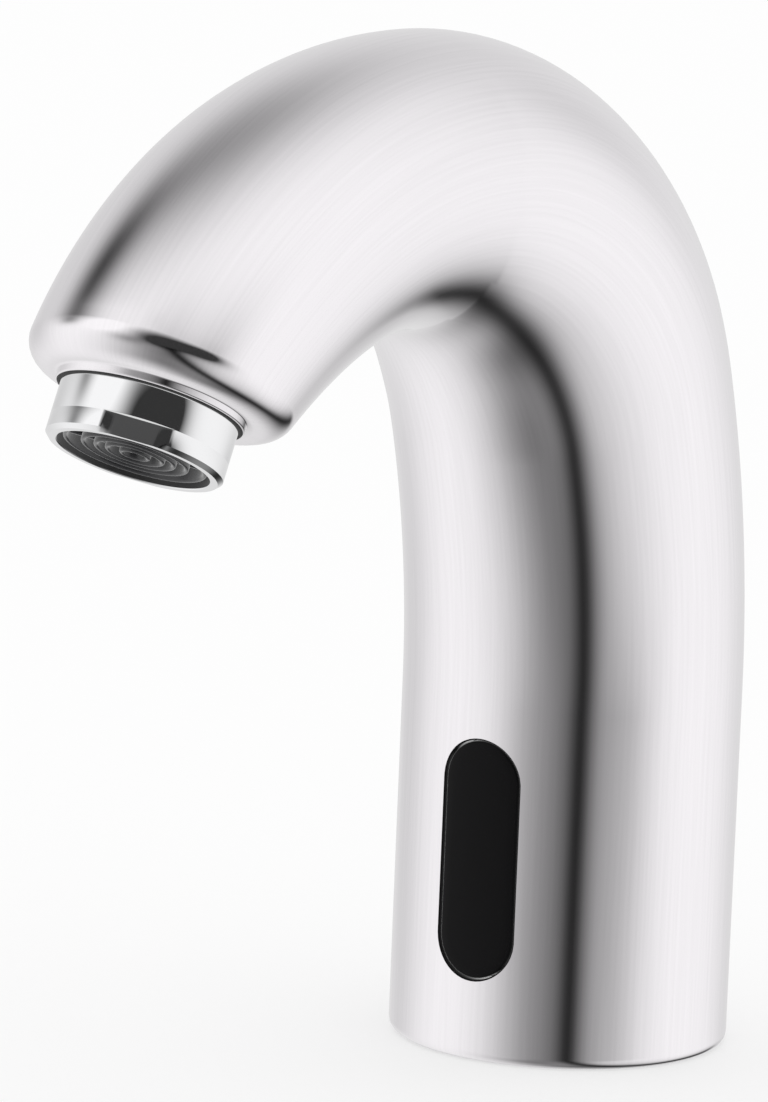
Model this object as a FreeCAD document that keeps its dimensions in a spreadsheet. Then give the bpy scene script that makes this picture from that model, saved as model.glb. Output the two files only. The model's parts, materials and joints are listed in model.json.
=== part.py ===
"""Deck-mounted sensor tap: a hollow cast spout with the sensor, the solenoid valve and the
aerator inside it. Millimetres and degrees. The origin is the middle of the foot on the deck,
+Z is up and the spout reaches towards -Y."""
import FreeCAD, Part
import math
import os
import re

import Sketcher
from FreeCAD import Placement, Rotation, Vector

# ---------------------------------------------------------------- sizes

SIZES = {
    # cast body
    "column_radius": 25.0,
    "wall": 3.2,
    "column_height": 52.6,       # straight stretch above the deck
    "lean_bend": 143.0,          # the column leans forward on this radius
    "lean_turn": 18.0,
    "crown_bend": 51.3,          # the tight bend over the top
    "crown_turn": 69.4,
    "spout_bend": 80.5,          # the easier bend down to the outlet
    "spout_turn": 47.0,
    "neck_taper": 4.5,           # radius lost between these two turns of the centreline
    "neck_from": 25.0,
    "neck_to": 105.0,
    "tip_taper": 2.15,           # radius lost along the spout bend, mostly at its end
    "tip_run": 9.0,              # body carried on past the centreline's end, then cut off
    "tip_round": 4.0,
    "foot_round": 1.6,
    "outlet_lean": 27.0,         # outlet axis, forward of straight down
    "face_beyond": 1.15,         # end face past the centreline's end, along the outlet axis
    "outlet_setback": 0.6,       # outlet axis behind the centreline's end
    # clearances
    "slip": 0.1,                 # pieces that slide into one another
    "thread_gap": 0.15,          # thread crest to its hole
    "seat_gap": 0.05,            # pieces pressed or clamped together
    "assembly_gap": 0.3,         # neighbours that pass each other in assembly
    # base
    "gasket_thickness": 2.0,
    "gasket_width": 4.8,
    "plate_thickness": 8.0,
    "plate_gap": 0.2,
    "stud_spacing": 26.0,
    "stud_radius": 3.4,
    "lug_radius": 3.5,
    "lug_height": 10.0,
    "lug_bite": 0.3,             # lug sunk into the wall it is cast on
    "rear_lug_angle": 55.0,      # from +X, mirrored about the Y axis
    "front_lug_angle": 30.0,
    "screw_radius": 1.5,
    "screw_head_radius": 2.7,
    "screw_head_height": 1.8,
    "base_screw_length": 12.0,
    "gland_offset": 13.2,
    "gland_radius": 3.2,
    "lead_radius": 2.2,
    "grommet_lip": 0.4,
    "grommet_flange": 1.2,
    # inlet nipple and check valve
    "nipple_radius": 7.3,
    "nipple_height": 24.0,
    "nipple_collar_radius": 8.6,
    "nipple_collar_low": 2.2,
    "nipple_collar_high": 5.0,
    "supply_radius": 4.5,
    "supply_depth": 9.0,
    "strainer_radius": 4.8,      # relief past the supply thread, which holds the strainer
    "strainer_top": 11.0,
    "check_seat_radius": 3.5,
    "check_seat_height": 13.0,
    "check_chamber_radius": 4.9,
    "cage_height": 20.5,
    "cage_radius": 5.5,
    "cage_thickness": 1.5,
    "cage_hole_radius": 1.1,
    "cage_hole_offset": 3.35,
    "poppet_radius": 4.4,
    "poppet_head": 1.6,
    "poppet_stem_radius": 1.15,
    "poppet_top": 22.0,
    "check_spring_radius": 2.6,
    "filter_depth": 1.5,
    "filter_rim": 0.6,
    # solenoid valve
    "valve_boss_radius": 8.9,
    "socket_top": 26.0,
    "block_low": 27.0,
    "block_top": 38.0,
    "block_half": 9.6,
    "block_corner": 2.5,
    "seat_radius": 3.0,
    "seat_lip": 1.2,
    "seat_channel_depth": 3.0,
    "feed_wall": 0.4,
    "feed_low": 26.0,
    "outlet_drill_radius": 2.4,
    "outlet_drill_height": 30.5,
    "membrane_radius": 8.4,
    "membrane_thickness": 1.0,
    "membrane_rim": 0.8,
    "insert_radius": 3.6,
    "insert_disc": 1.2,
    "pilot_radius": 1.3,
    "pilot_height": 1.3,
    "bleed_radius": 0.5,
    "insert_stem_radius": 1.5,
    "insert_foot_radius": 2.4,
    "insert_foot": 1.0,
    "bonnet_height": 6.0,
    "chamber_height": 3.8,
    "valve_screw_offset": 7.6,
    "valve_screw_radius": 1.2,
    "valve_screw_head_radius": 1.9,
    "valve_screw_head_height": 1.7,
    "valve_screw_length": 12.0,
    "armature_radius": 4.4,
    "armature_wall": 0.5,
    "armature_flange": 1.1,
    "armature_flange_height": 1.0,
    "armature_top": 67.5,
    "armature_core": 5.0,
    "plunger_radius": 3.7,
    "plunger_length": 17.5,
    "plunger_seal_radius": 2.0,
    "plunger_seal_height": 2.0,
    "plunger_spring_radius": 3.2,
    "spring_wire": 0.7,
    "yoke_half_length": 10.0,
    "yoke_half_width": 5.0,
    "yoke_thickness": 1.2,
    "yoke_height": 21.0,
    "bobbin_wall": 1.0,
    "bobbin_flange_radius": 8.6,
    "winding_radius": 8.3,
    "nut_radius": 6.8,
    "nut_height": 2.3,
    # riser
    "riser_radius": 3.5,
    "riser_wall": 0.9,
    "riser_boss_radius": 4.5,
    "riser_foot": 33.2,
    "riser_back_bend": 75.0,
    "riser_front_bend": 20.0,
    "riser_nut_height": 3.5,
    # sensor
    "window_width": 12.6,
    "window_height": 35.5,
    "window_bottom": 12.2,
    "window_gap": 0.2,
    "window_inset": 0.2,
    "window_skin": 2.2,
    "window_side": 1.3,
    "window_lip": 1.5,
    "window_gasket_thickness": 0.8,
    "sensor_case_half": 8.0,
    "sensor_case_depth": 5.1,
    "sensor_case_wall": 1.2,
    "board_thickness": 1.2,
    "board_inset": 1.1,
    "diode_radius": 2.5,
    "diode_clear": 1.4,          # diode tips to the back of the window
    "diode_spacing": 16.0,
    "chip_depth": 1.4,
    "controller_half": 4.0,
    "controller_reach": 3.5,
    "regulator_half": 2.5,
    "regulator_reach": 2.0,
    "regulator_drop": 10.0,
    "socket_half": 4.5,
    "socket_reach": 2.5,
    "socket_rise": 12.0,
    "bracket_thickness": 1.0,
    "bracket_half": 6.0,
    "bracket_height": 36.0,
    "bracket_foot_half": 10.3,
    "bracket_foot_depth": 5.0,
    "bracket_clear": 0.8,
    "bracket_screw_x": 8.0,
    "bracket_screw_y": 8.9,
    "bracket_screw_length": 6.0,
    "bracket_screw_head_radius": 2.2,
    "case_screw_height": 18.0,
    # outlet and aerator, heights along the outlet axis from the end face
    "thread_radius": 12.0,
    "socket_depth": 9.0,
    "seat_ring_radius": 13.3,
    "seat_ring_height": 1.0,
    "ferrule_radius": 7.2,
    "ferrule_length": 6.0,
    "ferrule_flange": 1.3,
    "ferrule_flange_radius": 11.0,
    "ferrule_bore": 2.6,
    "ferrule_entry": 3.5,
    "bore_depth": 24.0,
    "seal_wire": 0.5,
    "washer_thickness": 1.1,
    "washer_bore": 9.2,
    "collar_radius": 12.5,
    "collar_low": 1.3,
    "collar_height": 9.0,
    "collar_edge": 0.6,
    "mouth_radius": 10.8,
    "mouth_depth": 1.6,
    "ledge_radius": 10.2,
    "ledge_thickness": 0.8,
    "aerator_bore": 10.9,
    "flat_across": 23.0,
    "flat_height": 3.0,
    "flat_angle": 30.0,
    "grille_recess": 0.6,
    "grille_depth": 1.5,
    "ring_width": 0.6,
    "ring_outer": 10.1,
    "ring_second": 7.6,
    "ring_third": 5.8,
    "ring_fourth": 4.2,
    "ring_inner": 2.2,
    "spoke_width": 0.7,
    "spoke_depth": 0.8,
    "cup_length": 11.5,
    "cup_wall": 0.8,
    "cup_floor": 0.6,
    "core_thickness": 1.4,
    "core_height": 1.0,
    "jet_radius": 0.6,
    "jet_offset": 6.6,
    "regulator_radius": 4.0,
    "regulator_wire": 0.9,
    "screen_thickness": 0.4,
    "screen_gap": 1.2,
}

# sizes that follow from the ones above; each may use the ones before it
FOLLOW = {
    "cavity_radius": "column_radius - wall",
    "plate_radius": "cavity_radius - plate_gap",
    "plate_top": "gasket_thickness + plate_thickness",
    "lug_offset": "cavity_radius + lug_bite - lug_radius",
    "rear_lug_x": "lug_offset * cos(rear_lug_angle * 1deg)",
    "rear_lug_y": "lug_offset * sin(rear_lug_angle * 1deg)",
    "front_lug_x": "lug_offset * cos(front_lug_angle * 1deg)",
    "front_lug_y": "-lug_offset * sin(front_lug_angle * 1deg)",
    "screw_hole": "screw_radius + seat_gap",
    "membrane_low": "block_top - membrane_thickness",
    "seat_outer": "seat_radius + seat_lip",
    "channel_outer": "membrane_radius - membrane_rim",
    "feed_offset": "(seat_outer + channel_outer) / 2",
    "feed_radius": "(channel_outer - seat_outer) / 2 - feed_wall",
    "bonnet_top": "block_top + bonnet_height",
    "armature_bore": "armature_radius - armature_wall",
    "armature_floor": "armature_top - armature_core",
    "plunger_low": "block_top + insert_disc + pilot_height",
    "plunger_high": "plunger_low + plunger_length",
    "coil_low": "bonnet_top + yoke_thickness",
    "coil_high": "bonnet_top + yoke_height - yoke_thickness",
    "coil_bore": "armature_radius + slip",
    "riser_offset": "block_half + assembly_gap + riser_boss_radius",
    "riser_bore": "riser_radius - riser_wall",
    "bracket_back": "block_half + bracket_clear",
    "bracket_front": "bracket_back + bracket_thickness",
    "case_back": "bracket_front + slip",
    "case_front": "case_back + sensor_case_depth",
    "flange_back": "case_front + slip",
    "flange_front": "cavity_radius - window_gasket_thickness",
    "window_middle": "window_bottom + window_height / 2",
    "flange_low": "window_bottom - window_lip",
    "flange_height": "window_height + 2 * window_lip",
    "board_front": "case_front - board_inset",
    "board_back": "board_front - board_thickness",
    "window_back": "column_radius - window_inset - window_skin",
    "diode_length": "window_back - diode_clear - board_front",
    "bore_turn": "180 - outlet_lean",
    "thread_crest": "thread_radius - thread_gap",
    "ferrule_back": "-socket_depth - ferrule_length",
    "tube_end": "ferrule_back + ferrule_entry",
    "washer_low": "-socket_depth + ferrule_flange",
    "housing_low": "washer_low + washer_thickness",
    "ledge_high": "collar_height - mouth_depth",
    "ledge_low": "ledge_high - ledge_thickness",
    "grille_high": "collar_height - grille_recess",
    "cup_low": "ledge_low - cup_length",
    "cup_radius": "aerator_bore - slip",
    "cup_bore": "cup_radius - cup_wall",
}

document = FreeCAD.newDocument("SensorTap")
sheet = document.addObject("Spreadsheet::Sheet", "Sizes")
for row, (name, value) in enumerate(SIZES.items(), start=1):
    sheet.set(f"A{row}", name)
    sheet.set(f"B{row}", str(value))
    sheet.setAlias(f"B{row}", name)
document.recompute()


def bind(text):
    """Expression text in which every size is written as its cell of the sheet."""
    def written_out(word):
        name = word.group()
        if name in SIZES:
            return "Sizes." + name
        if name in FOLLOW:
            return "(" + bind(FOLLOW[name]) + ")"
        return name
    return re.sub(r"[a-z_]+", written_out, str(text))


def number(text):
    """The present value of an expression."""
    result = sheet.evalExpression(bind(text))
    return float(getattr(result, "Value", result))


# ---------------------------------------------------------------- the body's centreline

BENDS = (("lean_bend", "lean_turn"), ("crown_bend", "crown_turn"), ("spout_bend", "spout_turn"))


def on_centreline(bend, share):
    """(y, z, turn) as expressions at a share of one of the three bends."""
    y, z, turn = "0", "column_height", "0"
    for index in range(bend + 1):
        radius, angle = BENDS[index]
        part = 1 if index < bend else share
        after = f"({turn} + {part} * {angle})"
        y = f"{y} - {radius} * (cos({turn} * 1deg) - cos({after} * 1deg))"
        z = f"{z} + {radius} * (sin({after} * 1deg) - sin({turn} * 1deg))"
        turn = after
    return y, z, turn


def body_radius(turn, along_spout):
    """Column radius less a smooth taper over the neck and a cubic one along the spout."""
    neck = f"max(0; min(1; ({turn} - neck_from) / (neck_to - neck_from)))"
    return f"column_radius - neck_taper * {neck}^2 * (3 - 2 * {neck}) - tip_taper * ({along_spout})^3"


END_Y, END_Z, END_TURN = on_centreline(2, 1)
FACE_Y = f"{END_Y} - face_beyond * sin(outlet_lean * 1deg) + outlet_setback * cos(outlet_lean * 1deg)"
FACE_Z = f"{END_Z} - face_beyond * cos(outlet_lean * 1deg) - outlet_setback * sin(outlet_lean * 1deg)"


def on_outlet_axis(depth):
    """(y, z) on the outlet axis, this far inside the end face."""
    y = f"{FACE_Y} + ({depth}) * sin(outlet_lean * 1deg)"
    z = f"{FACE_Z} + ({depth}) * cos(outlet_lean * 1deg)"
    return y, z


def body_stations():
    """Sections of the body from foot to tip: (y, z, turn, radius)."""
    stations = [("0", f"{third} * column_height / 3", "0", "column_radius") for third in range(4)]
    for bend, steps in ((0, 2), (1, 4), (2, 4)):
        for step in range(1, steps + 1):
            y, z, turn = on_centreline(bend, step / steps)
            along_spout = step / steps if bend == 2 else 0
            stations.append((y, z, turn, body_radius(turn, along_spout)))
    y = f"{END_Y} - tip_run * sin({END_TURN} * 1deg)"
    z = f"{END_Z} + tip_run * cos({END_TURN} * 1deg)"
    past_end = "1 + tip_run * 180 / (pi * spout_bend * spout_turn)"
    stations.append((y, z, END_TURN, body_radius(END_TURN, past_end)))
    return stations


# ---------------------------------------------------------------- drawing helpers

pieces = []


def bind_place(thing, prop, y=None, z=None, turn=None, x=None):
    """Bind a placement: a shift, and a turn about the X axis."""
    angle = number(turn) if turn else 0
    setattr(thing, prop, Placement(Vector(0, 0, 0), Rotation(Vector(1, 0, 0), angle)))
    for axis, text in (("x", x), ("y", y), ("z", z)):
        if text not in (None, "0"):
            thing.setExpression(f"{prop}.Base.{axis}", bind(text))
    if turn:
        thing.setExpression(f"{prop}.Rotation.Angle", bind(turn))


def new_body(label, at_outlet=False):
    """An empty body; at the outlet its Z axis runs out of the end face."""
    body = document.addObject("PartDesign::Body", label)
    body.Label = label
    if at_outlet:
        bind_place(body, "Placement", FACE_Y, FACE_Z, "bore_turn")
    pieces.append(body)
    return body


def new_sketch(body, name, plane="XY_Plane", height=None, y=None, turn=None):
    """A sketch on one of the body's own planes, shifted along its normal by height."""
    sketch = body.newObject("Sketcher::SketchObject", name)
    role = [item for item in body.Origin.OriginFeatures if item.Role == plane][0]
    sketch.AttachmentSupport = [(role, "")]
    sketch.MapMode = "FlatFace"
    bind_place(sketch, "AttachmentOffset", y, height, turn)
    return sketch


def pin_point(sketch, curve, vertex, x, y):
    """Fix a point of a curve at bound distances from the sketch's origin."""
    for kind, text in (("DistanceX", x), ("DistanceY", y)):
        made = sketch.addConstraint(Sketcher.Constraint(kind, -1, 1, curve, vertex, number(text)))
        sketch.setExpression(f"Constraints[{made}]", bind(text))


def draw_circle(sketch, radius, x="0", y="0"):
    centre = Vector(number(x), number(y), 0)
    curve = sketch.addGeometry(Part.Circle(centre, Vector(0, 0, 1), number(radius)), False)
    made = sketch.addConstraint(Sketcher.Constraint("Radius", curve, number(radius)))
    sketch.setExpression(f"Constraints[{made}]", bind(radius))
    if x == "0" and y == "0":
        sketch.addConstraint(Sketcher.Constraint("Coincident", curve, 3, -1, 1))
    else:
        pin_point(sketch, curve, 3, x, y)


def draw_polygon(sketch, outline):
    """A closed outline of straight edges through bound points."""
    first, count = sketch.GeometryCount, len(outline)
    corners = [Vector(number(x), number(y), 0) for x, y in outline]
    for start, end in zip(corners, corners[1:] + corners[:1]):
        sketch.addGeometry(Part.LineSegment(start, end), False)
    for index, (x, y) in enumerate(outline):
        after = first + (index + 1) % count
        sketch.addConstraint(Sketcher.Constraint("Coincident", first + index, 2, after, 1))
        pin_point(sketch, first + index, 1, x, y)


def draw_rectangle(sketch, half_width, low, high):
    left = f"-({half_width})"
    draw_polygon(sketch, [(left, low), (half_width, low), (half_width, high), (left, high)])


def draw_slot(sketch, width, length, middle):
    """An upright slot with round ends, centred on the sketch's upright axis."""
    half, reach = number(width) / 2, (number(length) - number(width)) / 2
    high, low = number(middle) + reach, number(middle) - reach
    across = Vector(0, 0, 1)
    top = Part.ArcOfCircle(Part.Circle(Vector(0, high, 0), across, half), 0, math.pi)
    left = Part.LineSegment(Vector(-half, high, 0), Vector(-half, low, 0))
    bottom = Part.ArcOfCircle(Part.Circle(Vector(0, low, 0), across, half), math.pi, 2 * math.pi)
    right = Part.LineSegment(Vector(half, low, 0), Vector(half, high, 0))
    sketch.addGeometry([top, left, bottom, right], False)
    for curve in range(4):
        sketch.addConstraint(Sketcher.Constraint("Tangent", curve, 2, (curve + 1) % 4, 1))
    sketch.addConstraint(Sketcher.Constraint("Equal", 0, 2))
    made = sketch.addConstraint(Sketcher.Constraint("Radius", 0, half))
    sketch.setExpression(f"Constraints[{made}]", bind(f"({width}) / 2"))
    for arc, sign in ((0, "+"), (2, "-")):
        sketch.addConstraint(Sketcher.Constraint("PointOnObject", arc, 3, -2))
        centre = f"{middle} {sign} (({length}) - ({width})) / 2"
        made = sketch.addConstraint(Sketcher.Constraint("DistanceY", -1, 1, arc, 3, number(centre)))
        sketch.setExpression(f"Constraints[{made}]", bind(centre))


def pad(body, sketch, length, backwards=False):
    """Material from the sketch along its normal, or against it."""
    feature = body.newObject("PartDesign::Pad", sketch.Name + "_pad")
    feature.Profile = sketch
    feature.Reversed = backwards
    feature.setExpression("Length", bind(length))
    body.Tip = feature
    return feature


def pocket(body, sketch, length, along_normal=False):
    """A cut from the sketch against its normal, or along it."""
    feature = body.newObject("PartDesign::Pocket", sketch.Name + "_pocket")
    feature.Profile = sketch
    feature.Reversed = along_normal
    feature.setExpression("Length", bind(length))
    body.Tip = feature
    return feature


def drill(body, name, top, depth, circles):
    """Round pockets going down from a height; circles are (radius, x, y)."""
    sketch = new_sketch(body, name, height=top)
    for radius, x, y in circles:
        draw_circle(sketch, radius, x, y)
    return pocket(body, sketch, depth)


def around_axis(body, name, feature, count):
    """Repeat a feature evenly round the body's Z axis."""
    axis = [item for item in body.Origin.OriginFeatures if item.Role == "Z_Axis"][0]
    pattern = body.newObject("PartDesign::PolarPattern", name)
    pattern.Originals = [feature]
    pattern.Axis = (axis, [""])
    pattern.Angle = 360
    pattern.Occurrences = count
    body.Tip = pattern


def revolve(body, sketch):
    """Turn a sketch full circle about its upright axis."""
    feature = body.newObject("PartDesign::Revolution", sketch.Name + "_turned")
    feature.Profile = sketch
    feature.ReferenceAxis = (sketch, ["V_Axis"])
    body.Tip = feature


def turned(label, outline, at_outlet=False):
    """A lathe-turned piece: a closed (radius, height) outline revolved about the Z axis."""
    body = new_body(label, at_outlet)
    sketch = new_sketch(body, label + "_outline", "XZ_Plane")
    draw_polygon(sketch, outline)
    revolve(body, sketch)
    return body


def cylinder(name, radius, low, height, x="0", y="0"):
    shape = document.addObject("Part::Cylinder", name)
    shape.setExpression("Radius", bind(radius))
    shape.setExpression("Height", bind(height))
    bind_place(shape, "Placement", x=x, y=y, z=low)
    return shape


def box(name, x, y, z):
    """A block between bound pairs of x, y and z."""
    shape = document.addObject("Part::Box", name)
    for prop, (low, high) in (("Length", x), ("Width", y), ("Height", z)):
        shape.setExpression(prop, bind(f"({high}) - ({low})"))
    bind_place(shape, "Placement", x=x[0], y=y[0], z=z[0])
    return shape


def cut(label, base, tools):
    """One shape less others; the result is a piece of the tap."""
    for index, tool in enumerate(tools):
        last = index == len(tools) - 1
        result = document.addObject("Part::Cut", label if last else f"{label}_cut_{index}")
        result.Base = base
        result.Tool = tool
        base = result
    result.Label = label
    pieces.append(result)
    return result


def edges_where(feature, test):
    """Names of a feature's edges whose ends and middle all pass the test."""
    document.recompute()
    names = []
    for index, edge in enumerate(feature.Shape.Edges, start=1):
        first, last = edge.ParameterRange
        points = [edge.valueAt(first + (last - first) * share) for share in (0, 0.37, 0.71, 1)]
        if all(test(point) for point in points):
            names.append(f"Edge{index}")
    return names


def fillet(body, feature, names, radius):
    rounding = body.newObject("PartDesign::Fillet", feature.Name + "_round")
    rounding.Base = (feature, names)
    rounding.setExpression("Radius", bind(radius))
    body.Tip = rounding
    return rounding


def loft(body, kind, name, stations):
    """A loft through round sections square to the centreline."""
    sections = []
    for index, (y, z, turn, radius) in enumerate(stations):
        sketch = new_sketch(body, f"{name}_section_{index}", height=z, y=y,
                            turn=None if turn == "0" else turn)
        draw_circle(sketch, radius)
        sections.append(sketch)
    feature = body.newObject(kind, name)
    feature.Profile = sections[0]
    feature.Sections = [(sketch, [""]) for sketch in sections[1:]]
    body.Tip = feature
    return feature


# ---------------------------------------------------------------- cast body

LUGS = (("rear_lug_x", "rear_lug_y"), ("-(rear_lug_x)", "rear_lug_y"),
        ("-(front_lug_x)", "front_lug_y"), ("front_lug_x", "front_lug_y"))


def make_spout_body():
    """The cast spout: a tapering tube along the centreline, hollow to near its tip."""
    body = new_body("spout_body")
    stations = body_stations()
    loft(body, "PartDesign::AdditiveLoft", "outer", stations)

    end = new_sketch(body, "end_face", height=FACE_Z, y=FACE_Y, turn="bore_turn")
    draw_circle(end, "1.5 * column_radius")
    trimmed = pocket(body, end, "3 * tip_run", along_normal=True)

    face_y, face_z = number(FACE_Y), number(FACE_Z)
    lean = math.radians(number("outlet_lean"))
    rim = edges_where(trimmed, lambda point: abs((point.y - face_y) * math.sin(lean)
                                                 + (point.z - face_z) * math.cos(lean)) < 1e-3)
    rounded = fillet(body, trimmed, rim, "tip_round")
    foot = edges_where(rounded, lambda point: abs(point.z) < 1e-3)
    fillet(body, rounded, foot, "foot_round")

    short_of_tip = stations[:-2]        # the cavity stops at three quarters of the spout bend
    inner = [(y, z, turn, f"{radius} - wall") for y, z, turn, radius in short_of_tip]
    loft(body, "PartDesign::SubtractiveLoft", "cavity", inner)

    ring = new_sketch(body, "seat_ring", height=FACE_Z, y=FACE_Y, turn="bore_turn")
    draw_circle(ring, "seat_ring_radius")
    draw_circle(ring, "thread_radius")
    pad(body, ring, "seat_ring_height")
    for name, radius, depth in (("aerator_socket", "thread_radius", "socket_depth"),
                                ("ferrule_hole", "ferrule_radius", "bore_depth")):
        sketch = new_sketch(body, name, height=FACE_Z, y=FACE_Y, turn="bore_turn")
        draw_circle(sketch, radius)
        pocket(body, sketch, depth)

    slot = new_sketch(body, "window_slot", "XZ_Plane")
    draw_slot(slot, "window_width", "window_height", "window_middle")
    pocket(body, slot, "column_radius + wall", along_normal=True)

    lugs = new_sketch(body, "lugs", height="plate_top")
    for x, y in LUGS:
        draw_circle(lugs, "lug_radius", x, y)
    pad(body, lugs, "lug_height")
    drill(body, "lug_holes", "plate_top + lug_height - wall / 2", "lug_height - wall / 2",
          [("screw_hole", x, y) for x, y in LUGS])


# ---------------------------------------------------------------- base

def make_base_plate():
    """The turned plate that closes the foot and carries the valve, the sensor and the studs."""
    body = new_body("base_plate")
    disc = new_sketch(body, "plate_disc", height="gasket_thickness")
    draw_circle(disc, "plate_radius")
    pad(body, disc, "plate_thickness")
    bores = [("nipple_radius + slip", "0", "0"), ("gland_radius", "0", "gland_offset")]
    bores += [("stud_radius", "stud_spacing / 2", "0"), ("stud_radius", "-stud_spacing / 2", "0")]
    bores += [("screw_hole", x, y) for x, y in LUGS]
    drill(body, "plate_bores", "plate_top", "plate_thickness", bores)
    drill(body, "collar_recess", "nipple_collar_high + slip",
          "nipple_collar_high + slip - gasket_thickness", [("nipple_collar_radius + slip", "0", "0")])
    head = "screw_head_height + slip"
    drill(body, "head_recesses", f"gasket_thickness + {head}", head,
          [("screw_head_radius + slip", x, y) for x, y in LUGS])
    drill(body, "bracket_taps", "plate_top", "bracket_screw_length",
          [("screw_hole", "bracket_screw_x", "-bracket_screw_y"),
           ("screw_hole", "-bracket_screw_x", "-bracket_screw_y")])


def make_base_gasket():
    """A flat ring under the plate's edge, flush with the foot's rim."""
    turned("base_gasket", [
        ("plate_radius - gasket_width", "0"), ("plate_radius", "0"),
        ("plate_radius", "gasket_thickness"), ("plate_radius - gasket_width", "gasket_thickness")])


def make_screw(label, x, y, seat, radius, length, head_radius, head_height, upwards):
    """A cap screw whose head bears on the seat's height and whose shank goes up or down."""
    body = new_body(label)
    head = new_sketch(body, label + "_head", height=seat)
    draw_circle(head, head_radius, x, y)
    pad(body, head, head_height, backwards=upwards)
    shank = new_sketch(body, label + "_shank", height=seat)
    draw_circle(shank, radius, x, y)
    pad(body, shank, length, backwards=not upwards)


def make_base_screws():
    for index, (x, y) in enumerate(LUGS, start=1):
        make_screw(f"base_screw_{index}", x, y, "gasket_thickness + screw_head_height + slip",
                   "screw_radius", "base_screw_length", "screw_head_radius",
                   "screw_head_height", upwards=True)


def make_lead_grommet():
    """The rubber gland of the power lead, with a lip on the plate's upper face."""
    hole, lip = "gland_radius - seat_gap", "gland_radius + grommet_lip"
    body = new_body("power_lead_grommet")
    stem = new_sketch(body, "grommet_stem", height="gasket_thickness")
    draw_circle(stem, hole, "0", "gland_offset")
    pad(body, stem, "plate_thickness")
    flange = new_sketch(body, "grommet_flange", height="plate_top")
    draw_circle(flange, lip, "0", "gland_offset")
    pad(body, flange, "grommet_flange")
    drill(body, "lead_bore", "plate_top + grommet_flange", "plate_thickness + grommet_flange",
          [("lead_radius", "0", "gland_offset")])


# ---------------------------------------------------------------- inlet and check valve

def make_inlet_nipple():
    """The threaded inlet: collar under the plate, chamber for the check valve above it."""
    turned("inlet_nipple", [
        ("supply_radius", "0"), ("nipple_radius", "0"), ("nipple_radius", "nipple_collar_low"),
        ("nipple_collar_radius", "nipple_collar_low"),
        ("nipple_collar_radius", "nipple_collar_high"), ("nipple_radius", "nipple_collar_high"),
        ("nipple_radius", "nipple_height"), ("cage_radius", "nipple_height"),
        ("cage_radius", "cage_height"), ("check_chamber_radius", "cage_height"),
        ("check_chamber_radius", "check_seat_height"),
        ("check_seat_radius", "check_seat_height"), ("check_seat_radius", "strainer_top"),
        ("strainer_radius", "strainer_top"), ("strainer_radius", "supply_depth"),
        ("supply_radius", "supply_depth")])


def make_inlet_filter():
    """A cup strainer snapped into the relief above the inlet thread."""
    rim, top = "strainer_radius - thread_gap", "strainer_top - seat_gap"
    turned("inlet_filter", [
        ("0", f"{top} - filter_rim"), (f"{rim} - filter_rim", f"{top} - filter_rim"),
        (f"{rim} - filter_rim", f"{top} - filter_depth"), (rim, f"{top} - filter_depth"),
        (rim, top), ("0", top)])


def make_check_valve():
    """Poppet on its seat, its spring, and the drilled cage that guides the stem."""
    neck = "check_seat_height + poppet_head"
    turned("check_valve_poppet", [
        ("0", "check_seat_height"), ("poppet_radius", "check_seat_height"),
        ("poppet_radius", f"check_seat_height + poppet_head / 2"),
        ("poppet_stem_radius + spring_wire", neck), ("poppet_stem_radius", neck),
        ("poppet_stem_radius", "poppet_top"), ("0", "poppet_top")])
    turned("check_valve_spring", [
        ("check_spring_radius - spring_wire", neck), ("check_spring_radius", neck),
        ("check_spring_radius", "cage_height"),
        ("check_spring_radius - spring_wire", "cage_height")])
    cage = new_body("check_valve_cage")
    disc = new_sketch(cage, "cage_disc", height="cage_height")
    draw_circle(disc, "cage_radius - seat_gap")
    pad(cage, disc, "cage_thickness")
    drill(cage, "cage_guide", "cage_height + cage_thickness", "cage_thickness",
          [("poppet_stem_radius + slip", "0", "0")])
    hole = drill(cage, "cage_hole", "cage_height + cage_thickness", "cage_thickness",
                 [("cage_hole_radius", "cage_hole_offset", "0")])
    around_axis(cage, "cage_holes", hole, 6)


# ---------------------------------------------------------------- solenoid valve

VALVE_SCREWS = [(f"{side}valve_screw_offset", f"{end}valve_screw_offset")
                for side in ("", "-") for end in ("", "-")]
BLOCK_OUTLINE = [
    ("-(block_half - block_corner)", "-block_half"), ("block_half - block_corner", "-block_half"),
    ("block_half", "-(block_half - block_corner)"), ("block_half", "block_half - block_corner"),
    ("block_half - block_corner", "block_half"), ("-(block_half - block_corner)", "block_half"),
    ("-block_half", "block_half - block_corner"), ("-block_half", "-(block_half - block_corner)")]


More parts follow.
